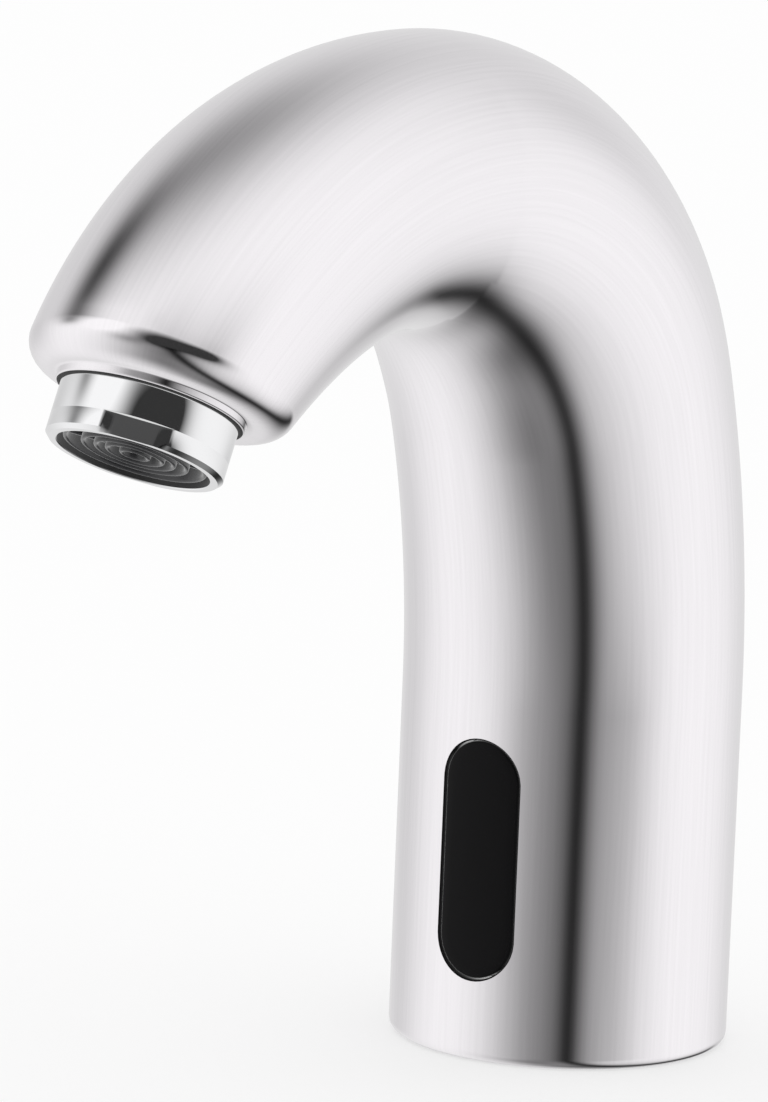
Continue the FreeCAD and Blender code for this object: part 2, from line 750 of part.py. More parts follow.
def make_valve_body():
    """Nipple socket below, ring channel and seat on top, and the riser's boss behind."""
    body = new_body("valve_body")
    boss = new_sketch(body, "valve_boss", height="plate_top")
    draw_circle(boss, "valve_boss_radius")
    pad(body, boss, "block_low - plate_top")
    block = new_sketch(body, "valve_block", height="block_low")
    draw_polygon(block, BLOCK_OUTLINE)
    pad(body, block, "block_top - block_low")
    web = new_sketch(body, "riser_web", height="block_low")
    draw_rectangle(web, "riser_boss_radius - riser_wall", "block_half - block_corner", "riser_offset")
    pad(body, web, "block_top - block_low - membrane_thickness")
    riser = new_sketch(body, "riser_boss", height="block_low")
    draw_circle(riser, "riser_boss_radius", "0", "riser_offset")
    pad(body, riser, "block_top - block_low")

    drill(body, "nipple_socket", "socket_top", "socket_top - plate_top",
          [("nipple_radius + slip", "0", "0")])
    feeds = []
    for turn in (30, 150, 270):
        feeds.append(("feed_radius", f"feed_offset * cos({turn}deg)", f"feed_offset * sin({turn}deg)"))
    channel_low = "membrane_low - seat_channel_depth"
    drill(body, "feed_holes", channel_low, f"{channel_low} - feed_low", feeds)
    channel = new_sketch(body, "ring_channel", height="membrane_low")
    draw_circle(channel, "channel_outer")
    draw_circle(channel, "seat_outer")
    pocket(body, channel, "seat_channel_depth")
    drill(body, "membrane_recess", "block_top", "membrane_thickness",
          [("membrane_radius + slip", "0", "0")])
    drill(body, "seat_bore", "membrane_low", "membrane_low - outlet_drill_height",
          [("seat_radius", "0", "0")])
    across = new_sketch(body, "outlet_drill", "XZ_Plane")
    draw_circle(across, "outlet_drill_radius", "0", "outlet_drill_height")
    pocket(body, across, "riser_offset")
    drill(body, "riser_socket", "block_top", "block_top - riser_foot",
          [("riser_radius + slip", "0", "riser_offset")])
    drill(body, "riser_passage", "riser_foot", "riser_foot - outlet_drill_height",
          [("riser_bore", "0", "riser_offset")])
    drill(body, "bonnet_taps", "block_top", "valve_screw_length - bonnet_height + wall / 2",
          [("valve_screw_radius + seat_gap", x, y) for x, y in VALVE_SCREWS])


def make_diaphragm():
    """The rubber membrane and the stiff insert that it carries, with the pilot on top."""
    turned("diaphragm", [
        ("insert_stem_radius + seat_gap", "membrane_low"), ("membrane_radius", "membrane_low"),
        ("membrane_radius", "block_top"), ("insert_stem_radius + seat_gap", "block_top")])
    shelf = "block_top + insert_disc"
    turned("diaphragm_insert", [
        ("bleed_radius", "membrane_low - insert_foot"),
        ("insert_foot_radius", "membrane_low - insert_foot"),
        ("insert_foot_radius", "membrane_low"), ("insert_stem_radius", "membrane_low"),
        ("insert_stem_radius", "block_top"), ("insert_radius", "block_top"),
        ("insert_radius", shelf), ("pilot_radius", shelf), ("pilot_radius", "plunger_low"),
        ("bleed_radius", "plunger_low")])


def make_valve_bonnet():
    """The cover over the membrane, with the control chamber and the plunger's way in."""
    body = new_body("valve_bonnet")
    block = new_sketch(body, "bonnet_block", height="block_top")
    draw_polygon(block, BLOCK_OUTLINE)
    pad(body, block, "bonnet_height")
    drill(body, "control_chamber", "block_top + chamber_height", "chamber_height",
          [("channel_outer", "0", "0")])
    drill(body, "plunger_way", "bonnet_top", "bonnet_height", [("armature_bore", "0", "0")])
    drill(body, "flange_recess", "bonnet_top", "armature_flange_height",
          [("armature_radius + armature_flange + slip", "0", "0")])
    drill(body, "bonnet_holes", "bonnet_top", "bonnet_height",
          [("valve_screw_radius + slip", x, y) for x, y in VALVE_SCREWS])


def make_valve_screws():
    for index, (x, y) in enumerate(VALVE_SCREWS, start=1):
        make_screw(f"valve_screw_{index}", x, y, "bonnet_top", "valve_screw_radius",
                   "valve_screw_length", "valve_screw_head_radius",
                   "valve_screw_head_height", upwards=False)


def make_armature():
    """The guide tube with its fixed core, the plunger with its seal, and the return spring."""
    flange, low = "armature_radius + armature_flange", "bonnet_top - armature_flange_height"
    turned("armature_tube", [
        ("armature_bore", low), (flange, low), (flange, "bonnet_top"),
        ("armature_radius", "bonnet_top"), ("armature_radius", "armature_top"),
        ("0", "armature_top"), ("0", "armature_floor"), ("armature_bore", "armature_floor")])
    pocket_radius = "plunger_seal_radius + seat_gap"
    pocket_top = "plunger_low + plunger_seal_height"
    turned("plunger", [
        (pocket_radius, "plunger_low"), ("plunger_radius", "plunger_low"),
        ("plunger_radius", "plunger_high"), ("0", "plunger_high"), ("0", pocket_top),
        (pocket_radius, pocket_top)])
    turned("plunger_seal", [
        ("0", "plunger_low"), ("plunger_seal_radius", "plunger_low"),
        ("plunger_seal_radius", pocket_top), ("0", pocket_top)])
    turned("plunger_spring", [
        ("plunger_spring_radius - spring_wire", "plunger_high"),
        ("plunger_spring_radius", "plunger_high"),
        ("plunger_spring_radius", "armature_floor"),
        ("plunger_spring_radius - spring_wire", "armature_floor")])


def make_coil():
    """Bobbin, winding, the bent yoke round them, and the nut that holds them down."""
    wall_radius = "coil_bore + bobbin_wall"
    turned("coil_bobbin", [
        ("coil_bore", "coil_low"), ("bobbin_flange_radius", "coil_low"),
        ("bobbin_flange_radius", "coil_low + bobbin_wall"),
        (wall_radius, "coil_low + bobbin_wall"), (wall_radius, "coil_high - bobbin_wall"),
        ("bobbin_flange_radius", "coil_high - bobbin_wall"),
        ("bobbin_flange_radius", "coil_high"), ("coil_bore", "coil_high")])
    inner = f"{wall_radius} + slip"
    low, high = "coil_low + bobbin_wall + slip", "coil_high - bobbin_wall - slip"
    turned("coil_winding", [(inner, low), ("winding_radius", low),
                            ("winding_radius", high), (inner, high)])
    leg = "yoke_half_length - yoke_thickness"
    frame = box("yoke_outer", ("-yoke_half_length", "yoke_half_length"),
                ("-yoke_half_width", "yoke_half_width"), ("bonnet_top", "bonnet_top + yoke_height"))
    window = box("yoke_window", (f"-({leg})", leg), ("-yoke_half_width - slip", "yoke_half_width + slip"),
                 ("coil_low", "coil_high"))
    bore = cylinder("yoke_bore", "coil_bore", "bonnet_top - slip", "yoke_height + 2 * slip")
    cut("coil_yoke", frame, [window, bore])
    nut = document.addObject("Part::Prism", "nut_hexagon")
    nut.Polygon = 6
    nut.setExpression("Circumradius", bind("nut_radius"))
    nut.setExpression("Height", bind("nut_height"))
    bind_place(nut, "Placement", z="bonnet_top + yoke_height")
    hole = cylinder("nut_bore", "coil_bore", "bonnet_top + yoke_height - slip", "nut_height + 2 * slip")
    cut("coil_nut", nut, [hole])


# ---------------------------------------------------------------- riser

def make_riser():
    """The tube from the valve over the arch: up, a wide bend, level, a tight bend, out."""
    body = new_body("riser_tube")
    path = new_sketch(body, "riser_path", "YZ_Plane")
    back, front = number("riser_back_bend"), number("riser_front_bend")
    offset, foot, lean = number("riser_offset"), number("riser_foot"), math.radians(number("outlet_lean"))
    straight_from = "-(ferrule_back) + riser_wall"
    joint_y, joint_z = on_outlet_axis(straight_from)
    end_y, end_z = on_outlet_axis("-(tube_end)")
    bend_y = number(joint_y) + front * math.cos(lean)
    level = number(joint_z) + front * (1 - math.sin(lean))
    across = Vector(0, 0, 1)
    rise = Part.LineSegment(Vector(offset, foot, 0), Vector(offset, level - back, 0))
    wide = Part.ArcOfCircle(Part.Circle(Vector(offset - back, level - back, 0), across, back), 0, math.pi / 2)
    run = Part.LineSegment(Vector(offset - back, level, 0), Vector(bend_y, level, 0))
    tight = Part.ArcOfCircle(Part.Circle(Vector(bend_y, level - front, 0), across, front),
                             math.pi / 2, math.pi - lean)
    drop = Part.LineSegment(Vector(number(joint_y), number(joint_z), 0),
                            Vector(number(end_y), number(end_z), 0))
    path.addGeometry([rise, wide, run, tight, drop], False)
    for curve in range(4):
        path.addConstraint(Sketcher.Constraint("Tangent", curve, 2, curve + 1, 1))
    path.addConstraint(Sketcher.Constraint("Vertical", 0))
    path.addConstraint(Sketcher.Constraint("Horizontal", 2))
    for arc, name in ((1, "riser_back_bend"), (3, "riser_front_bend")):
        made = path.addConstraint(Sketcher.Constraint("Radius", arc, number(name)))
        path.setExpression(f"Constraints[{made}]", bind(name))
    pin_point(path, 0, 1, "riser_offset", "riser_foot")
    pin_point(path, 4, 1, joint_y, joint_z)
    pin_point(path, 4, 2, end_y, end_z)
    ring = new_sketch(body, "riser_section", height="riser_foot")
    draw_circle(ring, "riser_radius", "0", "riser_offset")
    draw_circle(ring, "riser_bore", "0", "riser_offset")
    tube = body.newObject("PartDesign::AdditivePipe", "riser_sweep")
    tube.Profile = ring
    tube.Spine = (path, [f"Edge{edge}" for edge in range(1, 6)])
    body.Tip = tube

    nut = new_body("riser_nut")
    disc = new_sketch(nut, "riser_nut_disc", height="block_top")
    draw_circle(disc, "riser_boss_radius", "0", "riser_offset")
    draw_circle(disc, "riser_radius + slip", "0", "riser_offset")
    pad(nut, disc, "riser_nut_height")


# ---------------------------------------------------------------- sensor

def trim_outside(body, name, radius):
    """Cut away everything beyond an upright cylinder about the column's axis."""
    sketch = new_sketch(body, name, height="column_height + column_radius")
    draw_circle(sketch, radius)
    draw_circle(sketch, "2 * column_radius")
    pocket(body, sketch, "column_height + 2 * column_radius")


def make_sensor_window():
    """The dark window: a plug that fills the slot, on a flange inside the wall."""
    body = new_body("sensor_window")
    flange = new_sketch(body, "window_flange", "XZ_Plane", height="flange_back")
    draw_slot(flange, "window_width + 2 * window_lip", "flange_height", "window_middle")
    pad(body, flange, "wall + window_skin")
    trim_outside(body, "flange_front", "flange_front")
    plug = new_sketch(body, "window_plug", "XZ_Plane", height="flange_back")
    draw_slot(plug, "window_width - 2 * window_gap", "window_height - 2 * window_gap", "window_middle")
    pad(body, plug, "column_radius")
    trim_outside(body, "plug_front", "column_radius - window_inset")
    hollow = new_sketch(body, "window_hollow", "XZ_Plane",
                        height="window_back")
    inner = "2 * window_gap + 2 * window_side"
    draw_slot(hollow, f"window_width - ({inner})", f"window_height - ({inner})", "window_middle")
    pocket(body, hollow, "window_back - flange_back")


def make_window_gasket():
    """The curved rubber gasket between the flange and the inside of the wall."""
    body = new_body("window_gasket")
    sheet_outline = new_sketch(body, "gasket_outline", "XZ_Plane", height="flange_back - window_skin")
    draw_slot(sheet_outline, "window_width + 2 * window_lip", "flange_height", "window_middle")
    pad(body, sheet_outline, "column_radius")
    trim_outside(body, "gasket_front", "cavity_radius - seat_gap")
    drill(body, "gasket_back", "column_height + column_radius", "column_height + 2 * column_radius",
          [("flange_front + seat_gap", "0", "0")])
    opening = new_sketch(body, "gasket_opening", "XZ_Plane")
    draw_slot(opening, "window_width", "window_height", "window_middle")
    pocket(body, opening, "column_radius + wall", along_normal=True)


def make_sensor_case():
    """The open-fronted case, and the board in it with both diodes and its parts."""
    wall = "sensor_case_wall"
    half = "sensor_case_half"
    low, high = "flange_low", "flange_low + flange_height"
    outer = box("case_outer", (f"-{half}", half), ("-(case_front)", "-(case_back)"), (low, high))
    inner = box("case_inner", (f"-({half} - {wall})", f"{half} - {wall}"),
                ("-(case_front) - slip", f"-(case_back) - {wall}"),
                (f"{low} + {wall}", f"{high} - {wall}"))
    screw = cylinder("case_tap", "screw_hole", "0", "sensor_case_depth")
    bind_place(screw, "Placement", y="-(case_back) + slip", z="case_screw_height", turn="90")
    cut("sensor_case", outer, [inner, screw])

    board = box("sensor_board", (f"-({half} - {wall} - slip)", f"{half} - {wall} - slip"),
                ("-(board_front)", "-(board_back)"),
                (f"{low} + {wall} + slip", f"{high} - {wall} - slip"))
    pieces.append(board)
    for label, sign in (("infrared_receiver", "-"), ("infrared_emitter", "+")):
        body = new_body(label)
        lens = new_sketch(body, label + "_section", "XZ_Plane", height="board_front")
        draw_circle(lens, "diode_radius", "0", f"window_middle {sign} diode_spacing / 2")
        shaft = pad(body, lens, "diode_length")
        tip = -number("board_front + diode_length")
        dome = edges_where(shaft, lambda point: abs(point.y - tip) < 1e-3)
        fillet(body, shaft, dome, "diode_radius * 0.8")
    for label, name, middle in (
            ("controller_chip", "controller", "window_middle"),
            ("board_regulator", "regulator", "window_middle - regulator_drop"),
            ("lead_socket", "socket", "window_middle + socket_rise")):
        chip = box(label, (f"-{name}_half", f"{name}_half"),
                   ("-(board_back)", "-(board_back) + chip_depth"),
                   (f"{middle} - {name}_reach", f"{middle} + {name}_reach"))
        pieces.append(chip)


def make_sensor_bracket():
    """The bent steel bracket that stands on the plate and carries the case."""
    body = new_body("sensor_bracket")
    foot = new_sketch(body, "bracket_foot", height="plate_top")
    front = "-(bracket_front)"
    draw_rectangle(foot, "bracket_foot_half", front, f"{front} + bracket_foot_depth")
    pad(body, foot, "bracket_thickness")
    tongue = new_sketch(body, "bracket_tongue", height="plate_top")
    draw_rectangle(tongue, "bracket_half", front, "-(bracket_back)")
    pad(body, tongue, "bracket_height")
    drill(body, "bracket_notch", "plate_top + bracket_thickness", "bracket_thickness",
          [("valve_boss_radius + assembly_gap", "0", "0")])
    drill(body, "bracket_holes", "plate_top + bracket_thickness", "bracket_thickness",
          [("screw_hole", "bracket_screw_x", "-bracket_screw_y"),
           ("screw_hole", "-bracket_screw_x", "-bracket_screw_y")])
    hole = new_sketch(body, "case_screw_hole", "XZ_Plane")
    draw_circle(hole, "screw_hole", "0", "case_screw_height")
    pocket(body, hole, "bracket_front + slip", along_normal=True)


def make_bracket_screws():
    for index, x in enumerate(("bracket_screw_x", "-bracket_screw_x"), start=1):
        make_screw(f"bracket_screw_{index}", x, "-bracket_screw_y", "plate_top + bracket_thickness",
                   "screw_radius", "bracket_screw_length", "bracket_screw_head_radius",
                   "bracket_thickness + slip", upwards=False)
    body = new_body("case_screw")
    head = new_sketch(body, "case_screw_head", "XZ_Plane", height="bracket_back")
    draw_circle(head, "screw_head_radius", "0", "case_screw_height")
    pad(body, head, "bracket_clear", backwards=True)
    shank = new_sketch(body, "case_screw_shank", "XZ_Plane", height="bracket_back")
    draw_circle(shank, "screw_radius", "0", "case_screw_height")
    pad(body, shank, "bracket_thickness + slip + sensor_case_wall")


# ---------------------------------------------------------------- outlet and aerator

def make_outlet_ferrule():
    """The plug that brings the riser to the outlet, and its O-ring."""
    barrel = "ferrule_radius - slip"
    groove = "ferrule_radius - 2 * seal_wire - slip"
    entry = "riser_radius + slip"
    middle = "(ferrule_back - socket_depth) / 2"
    turned("outlet_ferrule", [
        (entry, "ferrule_back"), (barrel, "ferrule_back"),
        (barrel, f"{middle} - seal_wire - slip"), (groove, f"{middle} - seal_wire - slip"),
        (groove, f"{middle} + seal_wire + slip"), (barrel, f"{middle} + seal_wire + slip"),
        (barrel, "-socket_depth"), ("ferrule_flange_radius", "-socket_depth"),
        ("ferrule_flange_radius", "washer_low"), ("ferrule_bore", "washer_low"),
        ("ferrule_bore", "tube_end"), (entry, "tube_end")], at_outlet=True)
    seal = new_body("ferrule_seal", at_outlet=True)
    section = new_sketch(seal, "seal_section", "XZ_Plane")
    draw_circle(section, "seal_wire", f"{groove} + seal_wire + seat_gap", middle)
    revolve(seal, section)


def make_aerator_housing():
    """Threaded neck, polished collar with two spanner flats, and the inner ledge."""
    edge = "collar_radius - collar_edge"
    body = turned("aerator_housing", [
        ("aerator_bore", "housing_low"), ("thread_crest", "housing_low"),
        ("thread_crest", "collar_low"), ("collar_radius", "collar_low"),
        ("collar_radius", "collar_height - collar_edge"), (edge, "collar_height"),
        ("mouth_radius", "collar_height"), ("mouth_radius", "ledge_high"),
        ("ledge_radius", "ledge_high"), ("ledge_radius", "ledge_low"),
        ("aerator_bore", "ledge_low")], at_outlet=True)
    flats = new_sketch(body, "spanner_flats", height="collar_height")
    flats.AttachmentOffset = Placement(Vector(0, 0, 0), Rotation(Vector(0, 0, -1), number("flat_angle")))
    flats.setExpression("AttachmentOffset.Rotation.Angle", bind("flat_angle"))
    half = "collar_radius + slip"
    for low, high in (("flat_across / 2", half), (f"-({half})", "-flat_across / 2")):
        corners = [(f"-({half})", low), (half, low), (half, high), (f"-({half})", high)]
        draw_polygon(flats, corners)
    pocket(body, flats, "flat_height")


def make_aerator_insert():
    """The nylon insert: a cup inside the housing, with rings and spokes showing in the mouth."""
    body = new_body("aerator_insert", at_outlet=True)
    cup = new_sketch(body, "cup_wall", height="cup_low")
    draw_circle(cup, "cup_radius")
    draw_circle(cup, "cup_bore")
    pad(body, cup, "cup_length")
    floor = new_sketch(body, "cup_floor", height="ledge_low - cup_floor")
    draw_circle(floor, "cup_radius - slip")
    draw_circle(floor, "ring_outer - ring_width")
    pad(body, floor, "cup_floor")
    grille_low = "grille_high - grille_depth"
    outer = new_sketch(body, "grille_rim", height="ledge_low - cup_floor")
    draw_circle(outer, "ring_outer")
    draw_circle(outer, "ring_outer - ring_width")
    pad(body, outer, "grille_high - ledge_low + cup_floor")
    spokes = new_sketch(body, "grille_spokes", height=grille_low)
    reach = "ring_outer - ring_width / 2"
    draw_rectangle(spokes, "spoke_width / 2", f"-({reach})", reach)
    spoke = pad(body, spokes, "spoke_depth")
    around_axis(body, "grille_star", spoke, 6)
    rings = new_sketch(body, "grille_rings", height=grille_low)
    for ring in ("ring_second", "ring_third", "ring_fourth", "ring_inner"):
        draw_circle(rings, ring)
        draw_circle(rings, f"{ring} - ring_width")
    pad(body, rings, "grille_depth")


def make_aerator_core():
    """The jet plate inside the cup, the regulating ring on it, and two screens below."""
    body = new_body("aerator_core", at_outlet=True)
    plate = new_sketch(body, "jet_plate", height="core_height")
    draw_circle(plate, "cup_bore - slip")
    pad(body, plate, "core_thickness")
    jet = drill(body, "jet_hole", "core_height + core_thickness", "core_thickness",
                [("jet_radius", "jet_offset", "0")])
    around_axis(body, "jet_holes", jet, 8)

    regulator = new_body("flow_regulator_ring", at_outlet=True)
    section = new_sketch(regulator, "regulator_section", "XZ_Plane")
    draw_circle(section, "regulator_wire", "regulator_radius", "core_height - regulator_wire")
    revolve(regulator, section)

    rim = "cup_bore - slip"
    for index in (1, 2):
        low = f"core_height + core_thickness + {index} * screen_gap - screen_gap / 2"
        turned(f"aerator_screen_{index}", [
            ("0", low), (rim, low), (rim, f"{low} + screen_thickness"),
            ("0", f"{low} + screen_thickness")], at_outlet=True)


def make_aerator_washer():
    """The rubber washer between the ferrule's flange and the aerator."""
    turned("aerator_washer", [
        ("washer_bore", "washer_low"), ("thread_crest", "washer_low"),
        ("thread_crest", "housing_low"), ("washer_bore", "housing_low")], at_outlet=True)


# ---------------------------------------------------------------- build, test and write

make_spout_body()
make_base_plate()
make_base_gasket()
make_base_screws()
make_lead_grommet()
make_inlet_nipple()
make_inlet_filter()
make_check_valve()
make_valve_body()
make_diaphragm()
make_valve_bonnet()
make_valve_screws()
make_armature()
make_coil()
make_riser()
make_sensor_window()
make_window_gasket()
make_sensor_case()
make_sensor_bracket()
make_bracket_screws()
make_outlet_ferrule()
make_aerator_housing()
make_aerator_insert()
make_aerator_core()
make_aerator_washer()

document.recompute()
failed = [item.Label for item in document.Objects if {"Invalid", "Error"} & set(item.State)]
if failed:
    raise RuntimeError("objects in error: " + ", ".join(failed))
for piece in pieces:
    shape = piece.Shape
    if shape.isNull() or not shape.isValid() or not shape.Solids:
        raise RuntimeError("no sound solid in " + piece.Label)

os.makedirs("parts", exist_ok=True)
for piece in pieces:
    piece.Shape.exportStep(os.path.join("parts", piece.Label + ".step"))
    print(f"{piece.Label}: {len(piece.Shape.Solids)} solid, {piece.Shape.Volume:.0f} mm3")
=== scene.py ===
"""Looks of the deck-mounted sensor tap: satin-plated spout, dark sensor window, polished aerator.
Metres, +Z up, origin in the middle of the foot, spout towards -Y."""
import json
import math

import bmesh
import bpy
import numpy as np
from mathutils import Matrix, Vector


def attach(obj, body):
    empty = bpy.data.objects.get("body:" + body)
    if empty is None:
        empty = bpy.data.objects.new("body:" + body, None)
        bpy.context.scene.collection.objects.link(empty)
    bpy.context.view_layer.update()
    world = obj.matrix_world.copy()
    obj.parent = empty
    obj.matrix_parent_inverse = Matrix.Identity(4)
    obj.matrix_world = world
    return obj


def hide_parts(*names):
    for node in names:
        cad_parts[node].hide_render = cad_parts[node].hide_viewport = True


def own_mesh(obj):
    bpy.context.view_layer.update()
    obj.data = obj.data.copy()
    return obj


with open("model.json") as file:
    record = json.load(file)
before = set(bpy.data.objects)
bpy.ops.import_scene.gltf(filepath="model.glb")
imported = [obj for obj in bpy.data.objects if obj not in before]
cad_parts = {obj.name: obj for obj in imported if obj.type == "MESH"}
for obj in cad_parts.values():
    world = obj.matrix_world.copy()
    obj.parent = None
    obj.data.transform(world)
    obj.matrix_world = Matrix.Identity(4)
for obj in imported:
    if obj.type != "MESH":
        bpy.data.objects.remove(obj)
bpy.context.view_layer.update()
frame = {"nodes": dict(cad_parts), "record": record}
MM = 0.001

# ---------------------------------------------------------------- sizes of the solids (mm)

COLUMN_RADIUS, WALL, COLUMN_HEIGHT = 25.0, 3.2, 52.6
BENDS = ((143.0, 18.0), (51.3, 69.4), (80.5, 47.0))     # radius, then turn in degrees
NECK_TAPER, NECK_FROM, NECK_TO = 4.5, 25.0, 105.0
TIP_TAPER, TIP_RUN, TIP_ROUND, FOOT_ROUND = 2.15, 9.0, 4.0, 1.6
OUTLET_LEAN, FACE_BEYOND, OUTLET_SETBACK = math.radians(27.0), 1.15, 0.6
CAVITY_SHARE = 0.75                                      # of the spout bend
SEAT_RADIUS, SEAT_HEIGHT, SEAT_EDGE = 13.3, 1.0, 0.15
THREAD_RADIUS, SOCKET_DEPTH, FERRULE_RADIUS = 12.0, 9.0, 7.2
LUG_RADIUS, LUG_OFFSET, LUG_LOW, LUG_HIGH, LUG_HOLE, LUG_DRILL = 3.5, 18.6, 10.0, 20.0, 1.55, 8.4
LUG_ANGLES = (55.0, 125.0, 210.0, 330.0)

WINDOW_HALF, WINDOW_LENGTH, WINDOW_BOTTOM = 6.3, 35.5, 12.2
WINDOW_GAP, WINDOW_INSET, WINDOW_SKIN, WINDOW_SIDE = 0.2, 0.2, 2.2, 1.3
FLANGE_LIP, FLANGE_FRONT, FLANGE_BACK = 1.5, 21.0, 16.7

COLLAR_RADIUS, COLLAR_LOW, COLLAR_HEIGHT, COLLAR_EDGE = 12.5, 1.3, 9.0, 0.6
HOUSING_LOW, THREAD_CREST, THREAD_PITCH, THREAD_CUT = -6.6, 11.85, 1.0, 0.45
MOUTH_RADIUS, MOUTH_DEPTH, LEDGE_RADIUS, LEDGE_THICKNESS = 10.8, 1.6, 10.2, 0.8
AERATOR_BORE, FLAT_ACROSS, FLAT_HEIGHT = 10.9, 23.0, 3.0
FLAT_AT = math.radians(60.0)
# the black ring in the gap above the collar, put there as painted shade for the gap
SHADE_SEAL_RADIUS, SHADE_SEAL_HALF, SHADE_SEAL_THICK = 12.5, 0.62, 0.14
RING_OUTER, RING_WIDTH = (10.1, 7.6, 5.8, 4.2, 2.2), 0.6
GRILLE_RECESS, GRILLE_DEPTH, SPOKE_WIDTH, SPOKE_DEPTH = 0.6, 1.5, 0.7, 0.8
CUP_LENGTH, CUP_WALL, CUP_FLOOR, SLIP = 11.5, 0.8, 0.6, 0.1

# how finely the meshes are cut: rows and columns of their grids, and steps of a thread's turn
SHELL_COLUMNS, UPRIGHT_ROWS, CAVITY_ROWS, BEND_ROWS, TIP_ROWS = 160, 35, 80, 110, 10
SLOT_ROWS, SLOT_SIDE, SLOT_BEVEL = (6, 33), 10, 0.25     # the grid's cells that the slot takes up
COLLAR_COLUMNS, TURNED_COLUMNS, THREAD_STEPS, LUG_SIDES = 288, 192, 8, 24
LENS_END, LENS_SIDE, LENS_EDGE = 33, 17, 0.3
SOCKET_CUT, COLLAR_CHAMFER, LUG_SINK, AXIS_PIN = 0.3, 0.12, 0.2, 0.02
SHARP_EDGE = math.radians(35.0)
GRAIN_DRAW = 0.02                                        # how far the satin grain is drawn out

CAMERA_AZIMUTH, CAMERA_ELEVATION, CAMERA_ROLL = (math.radians(a) for a in (32.2, 10.1, 2.35))
CAMERA_AIM = Vector((0.0, -0.050, 0.080))
CAMERA_DISTANCE = 1.2
PHOTO_SIZE, FOCAL_PIXELS, AIM_PIXEL = (768, 1102), 8470.0, (397.0, 543.0)
SENSOR_WIDTH = 36.0
FLOOR_RADIUS, FLOOR_SIDES, FLOOR_GLOW = 9.0, 96, 0.55

# ---------------------------------------------------------------- shader maths

class Value:
    """A socket that takes part in Python sums; each operation adds its Math node."""

    def __init__(self, tree, socket):
        self.tree, self.socket = tree, socket

    def math(self, operation, *others, clamp=False):
        node = self.tree.nodes.new("ShaderNodeMath")
        node.operation, node.use_clamp = operation, clamp
        for slot, item in zip(node.inputs, (self,) + others):
            if isinstance(item, Value):
                self.tree.links.new(item.socket, slot)
            else:
                slot.default_value = item
        return Value(self.tree, node.outputs[0])

    def __add__(self, other):
        return self.math("ADD", other)

    def __mul__(self, other):
        return self.math("MULTIPLY", other)

    def __sub__(self, other):
        return self.math("SUBTRACT", other)

    def __rsub__(self, other):
        return self.math("MULTIPLY", -1.0).math("ADD", other)

    __radd__, __rmul__ = __add__, __mul__


class Shader:
    """A node tree that is filled one node at a time."""

    def __init__(self, owner):
        owner.use_nodes = True
        self.tree = owner.node_tree
        self.tree.nodes.clear()

    def node(self, kind, settings=None, out=0, **sockets):
        """Add a node: settings first, then sockets by name, where spaces are written as _."""
        made = self.tree.nodes.new(kind)
        for name, value in (settings or {}).items():
            setattr(made, name, value)
        for name, value in sockets.items():
            slot = made.inputs[int(name[1:])] if name[0] == "i" and name[1:].isdigit() \
                else made.inputs[name.replace("_", " ")]
            if isinstance(value, Value):
                self.tree.links.new(value.socket, slot)
            else:
                slot.default_value = value
        return Value(self.tree, made.outputs[out]) if made.outputs else made

    def ramp(self, factor, *stops):
        """A colour ramp on a factor, between two stops of (place, colour)."""
        made = self.tree.nodes.new("ShaderNodeValToRGB")
        for index, (place, shade) in enumerate(stops):
            element = made.color_ramp.elements[index]
            element.position = place
            element.color = (*shade, 1.0)
        self.tree.links.new(factor.socket, made.inputs[0])
        return Value(self.tree, made.outputs[0])


def object_place(shader, stretch):
    """Object coordinates, drawn out or pressed together along each axis."""
    place = shader.node("ShaderNodeTexCoord", out=3)
    return shader.node("ShaderNodeMapping", Vector=place, Scale=stretch)


def surface(name, colour, roughness, metallic=0.0, *, grain, spread, relief, specular=0.5,
            shade=0.0, place=None, stretch=(1.0, 1.0, 1.0)):
    """A finish: one colour with a grain (so many to the metre) that moves its gloss by the spread,
    its height by the relief (mm) and its shade by a share."""
    material = bpy.data.materials.new(name)
    shader = Shader(material)
    where = place(shader) if place else object_place(shader, stretch)
    pattern = shader.node("ShaderNodeTexNoise", Vector=where, Scale=grain, Detail=3.0,
                          Roughness=0.5)
    gloss = ((pattern - 0.5) * (2 * spread) + roughness).math("MAXIMUM", 0.02)
    bump = shader.node("ShaderNodeBump", Strength=1.0, Distance=relief * MM, Height=pattern)
    sockets = {"Metallic": metallic, "Specular_IOR_Level": specular, "Base_Color": (*colour, 1.0),
               "Roughness": gloss, "Normal": bump}
    if shade:
        dark = tuple(c * (1 - shade) for c in colour)
        sockets["Base_Color"] = shader.ramp(pattern, (0.3, dark), (0.7, tuple(colour)))
    lit = shader.node("ShaderNodeBsdfPrincipled", **sockets)
    shader.node("ShaderNodeOutputMaterial", Surface=lit)
    return material


def along_tube(shader):
    """Places as if the tube were straight, drawn out along it, so that a grain runs lengthwise."""
    straight = shader.node("ShaderNodeAttribute", {"attribute_name": "straightened"}, out=1)
    return shader.node("ShaderNodeMapping", Vector=straight, Scale=(1.0, 1.0, GRAIN_DRAW))


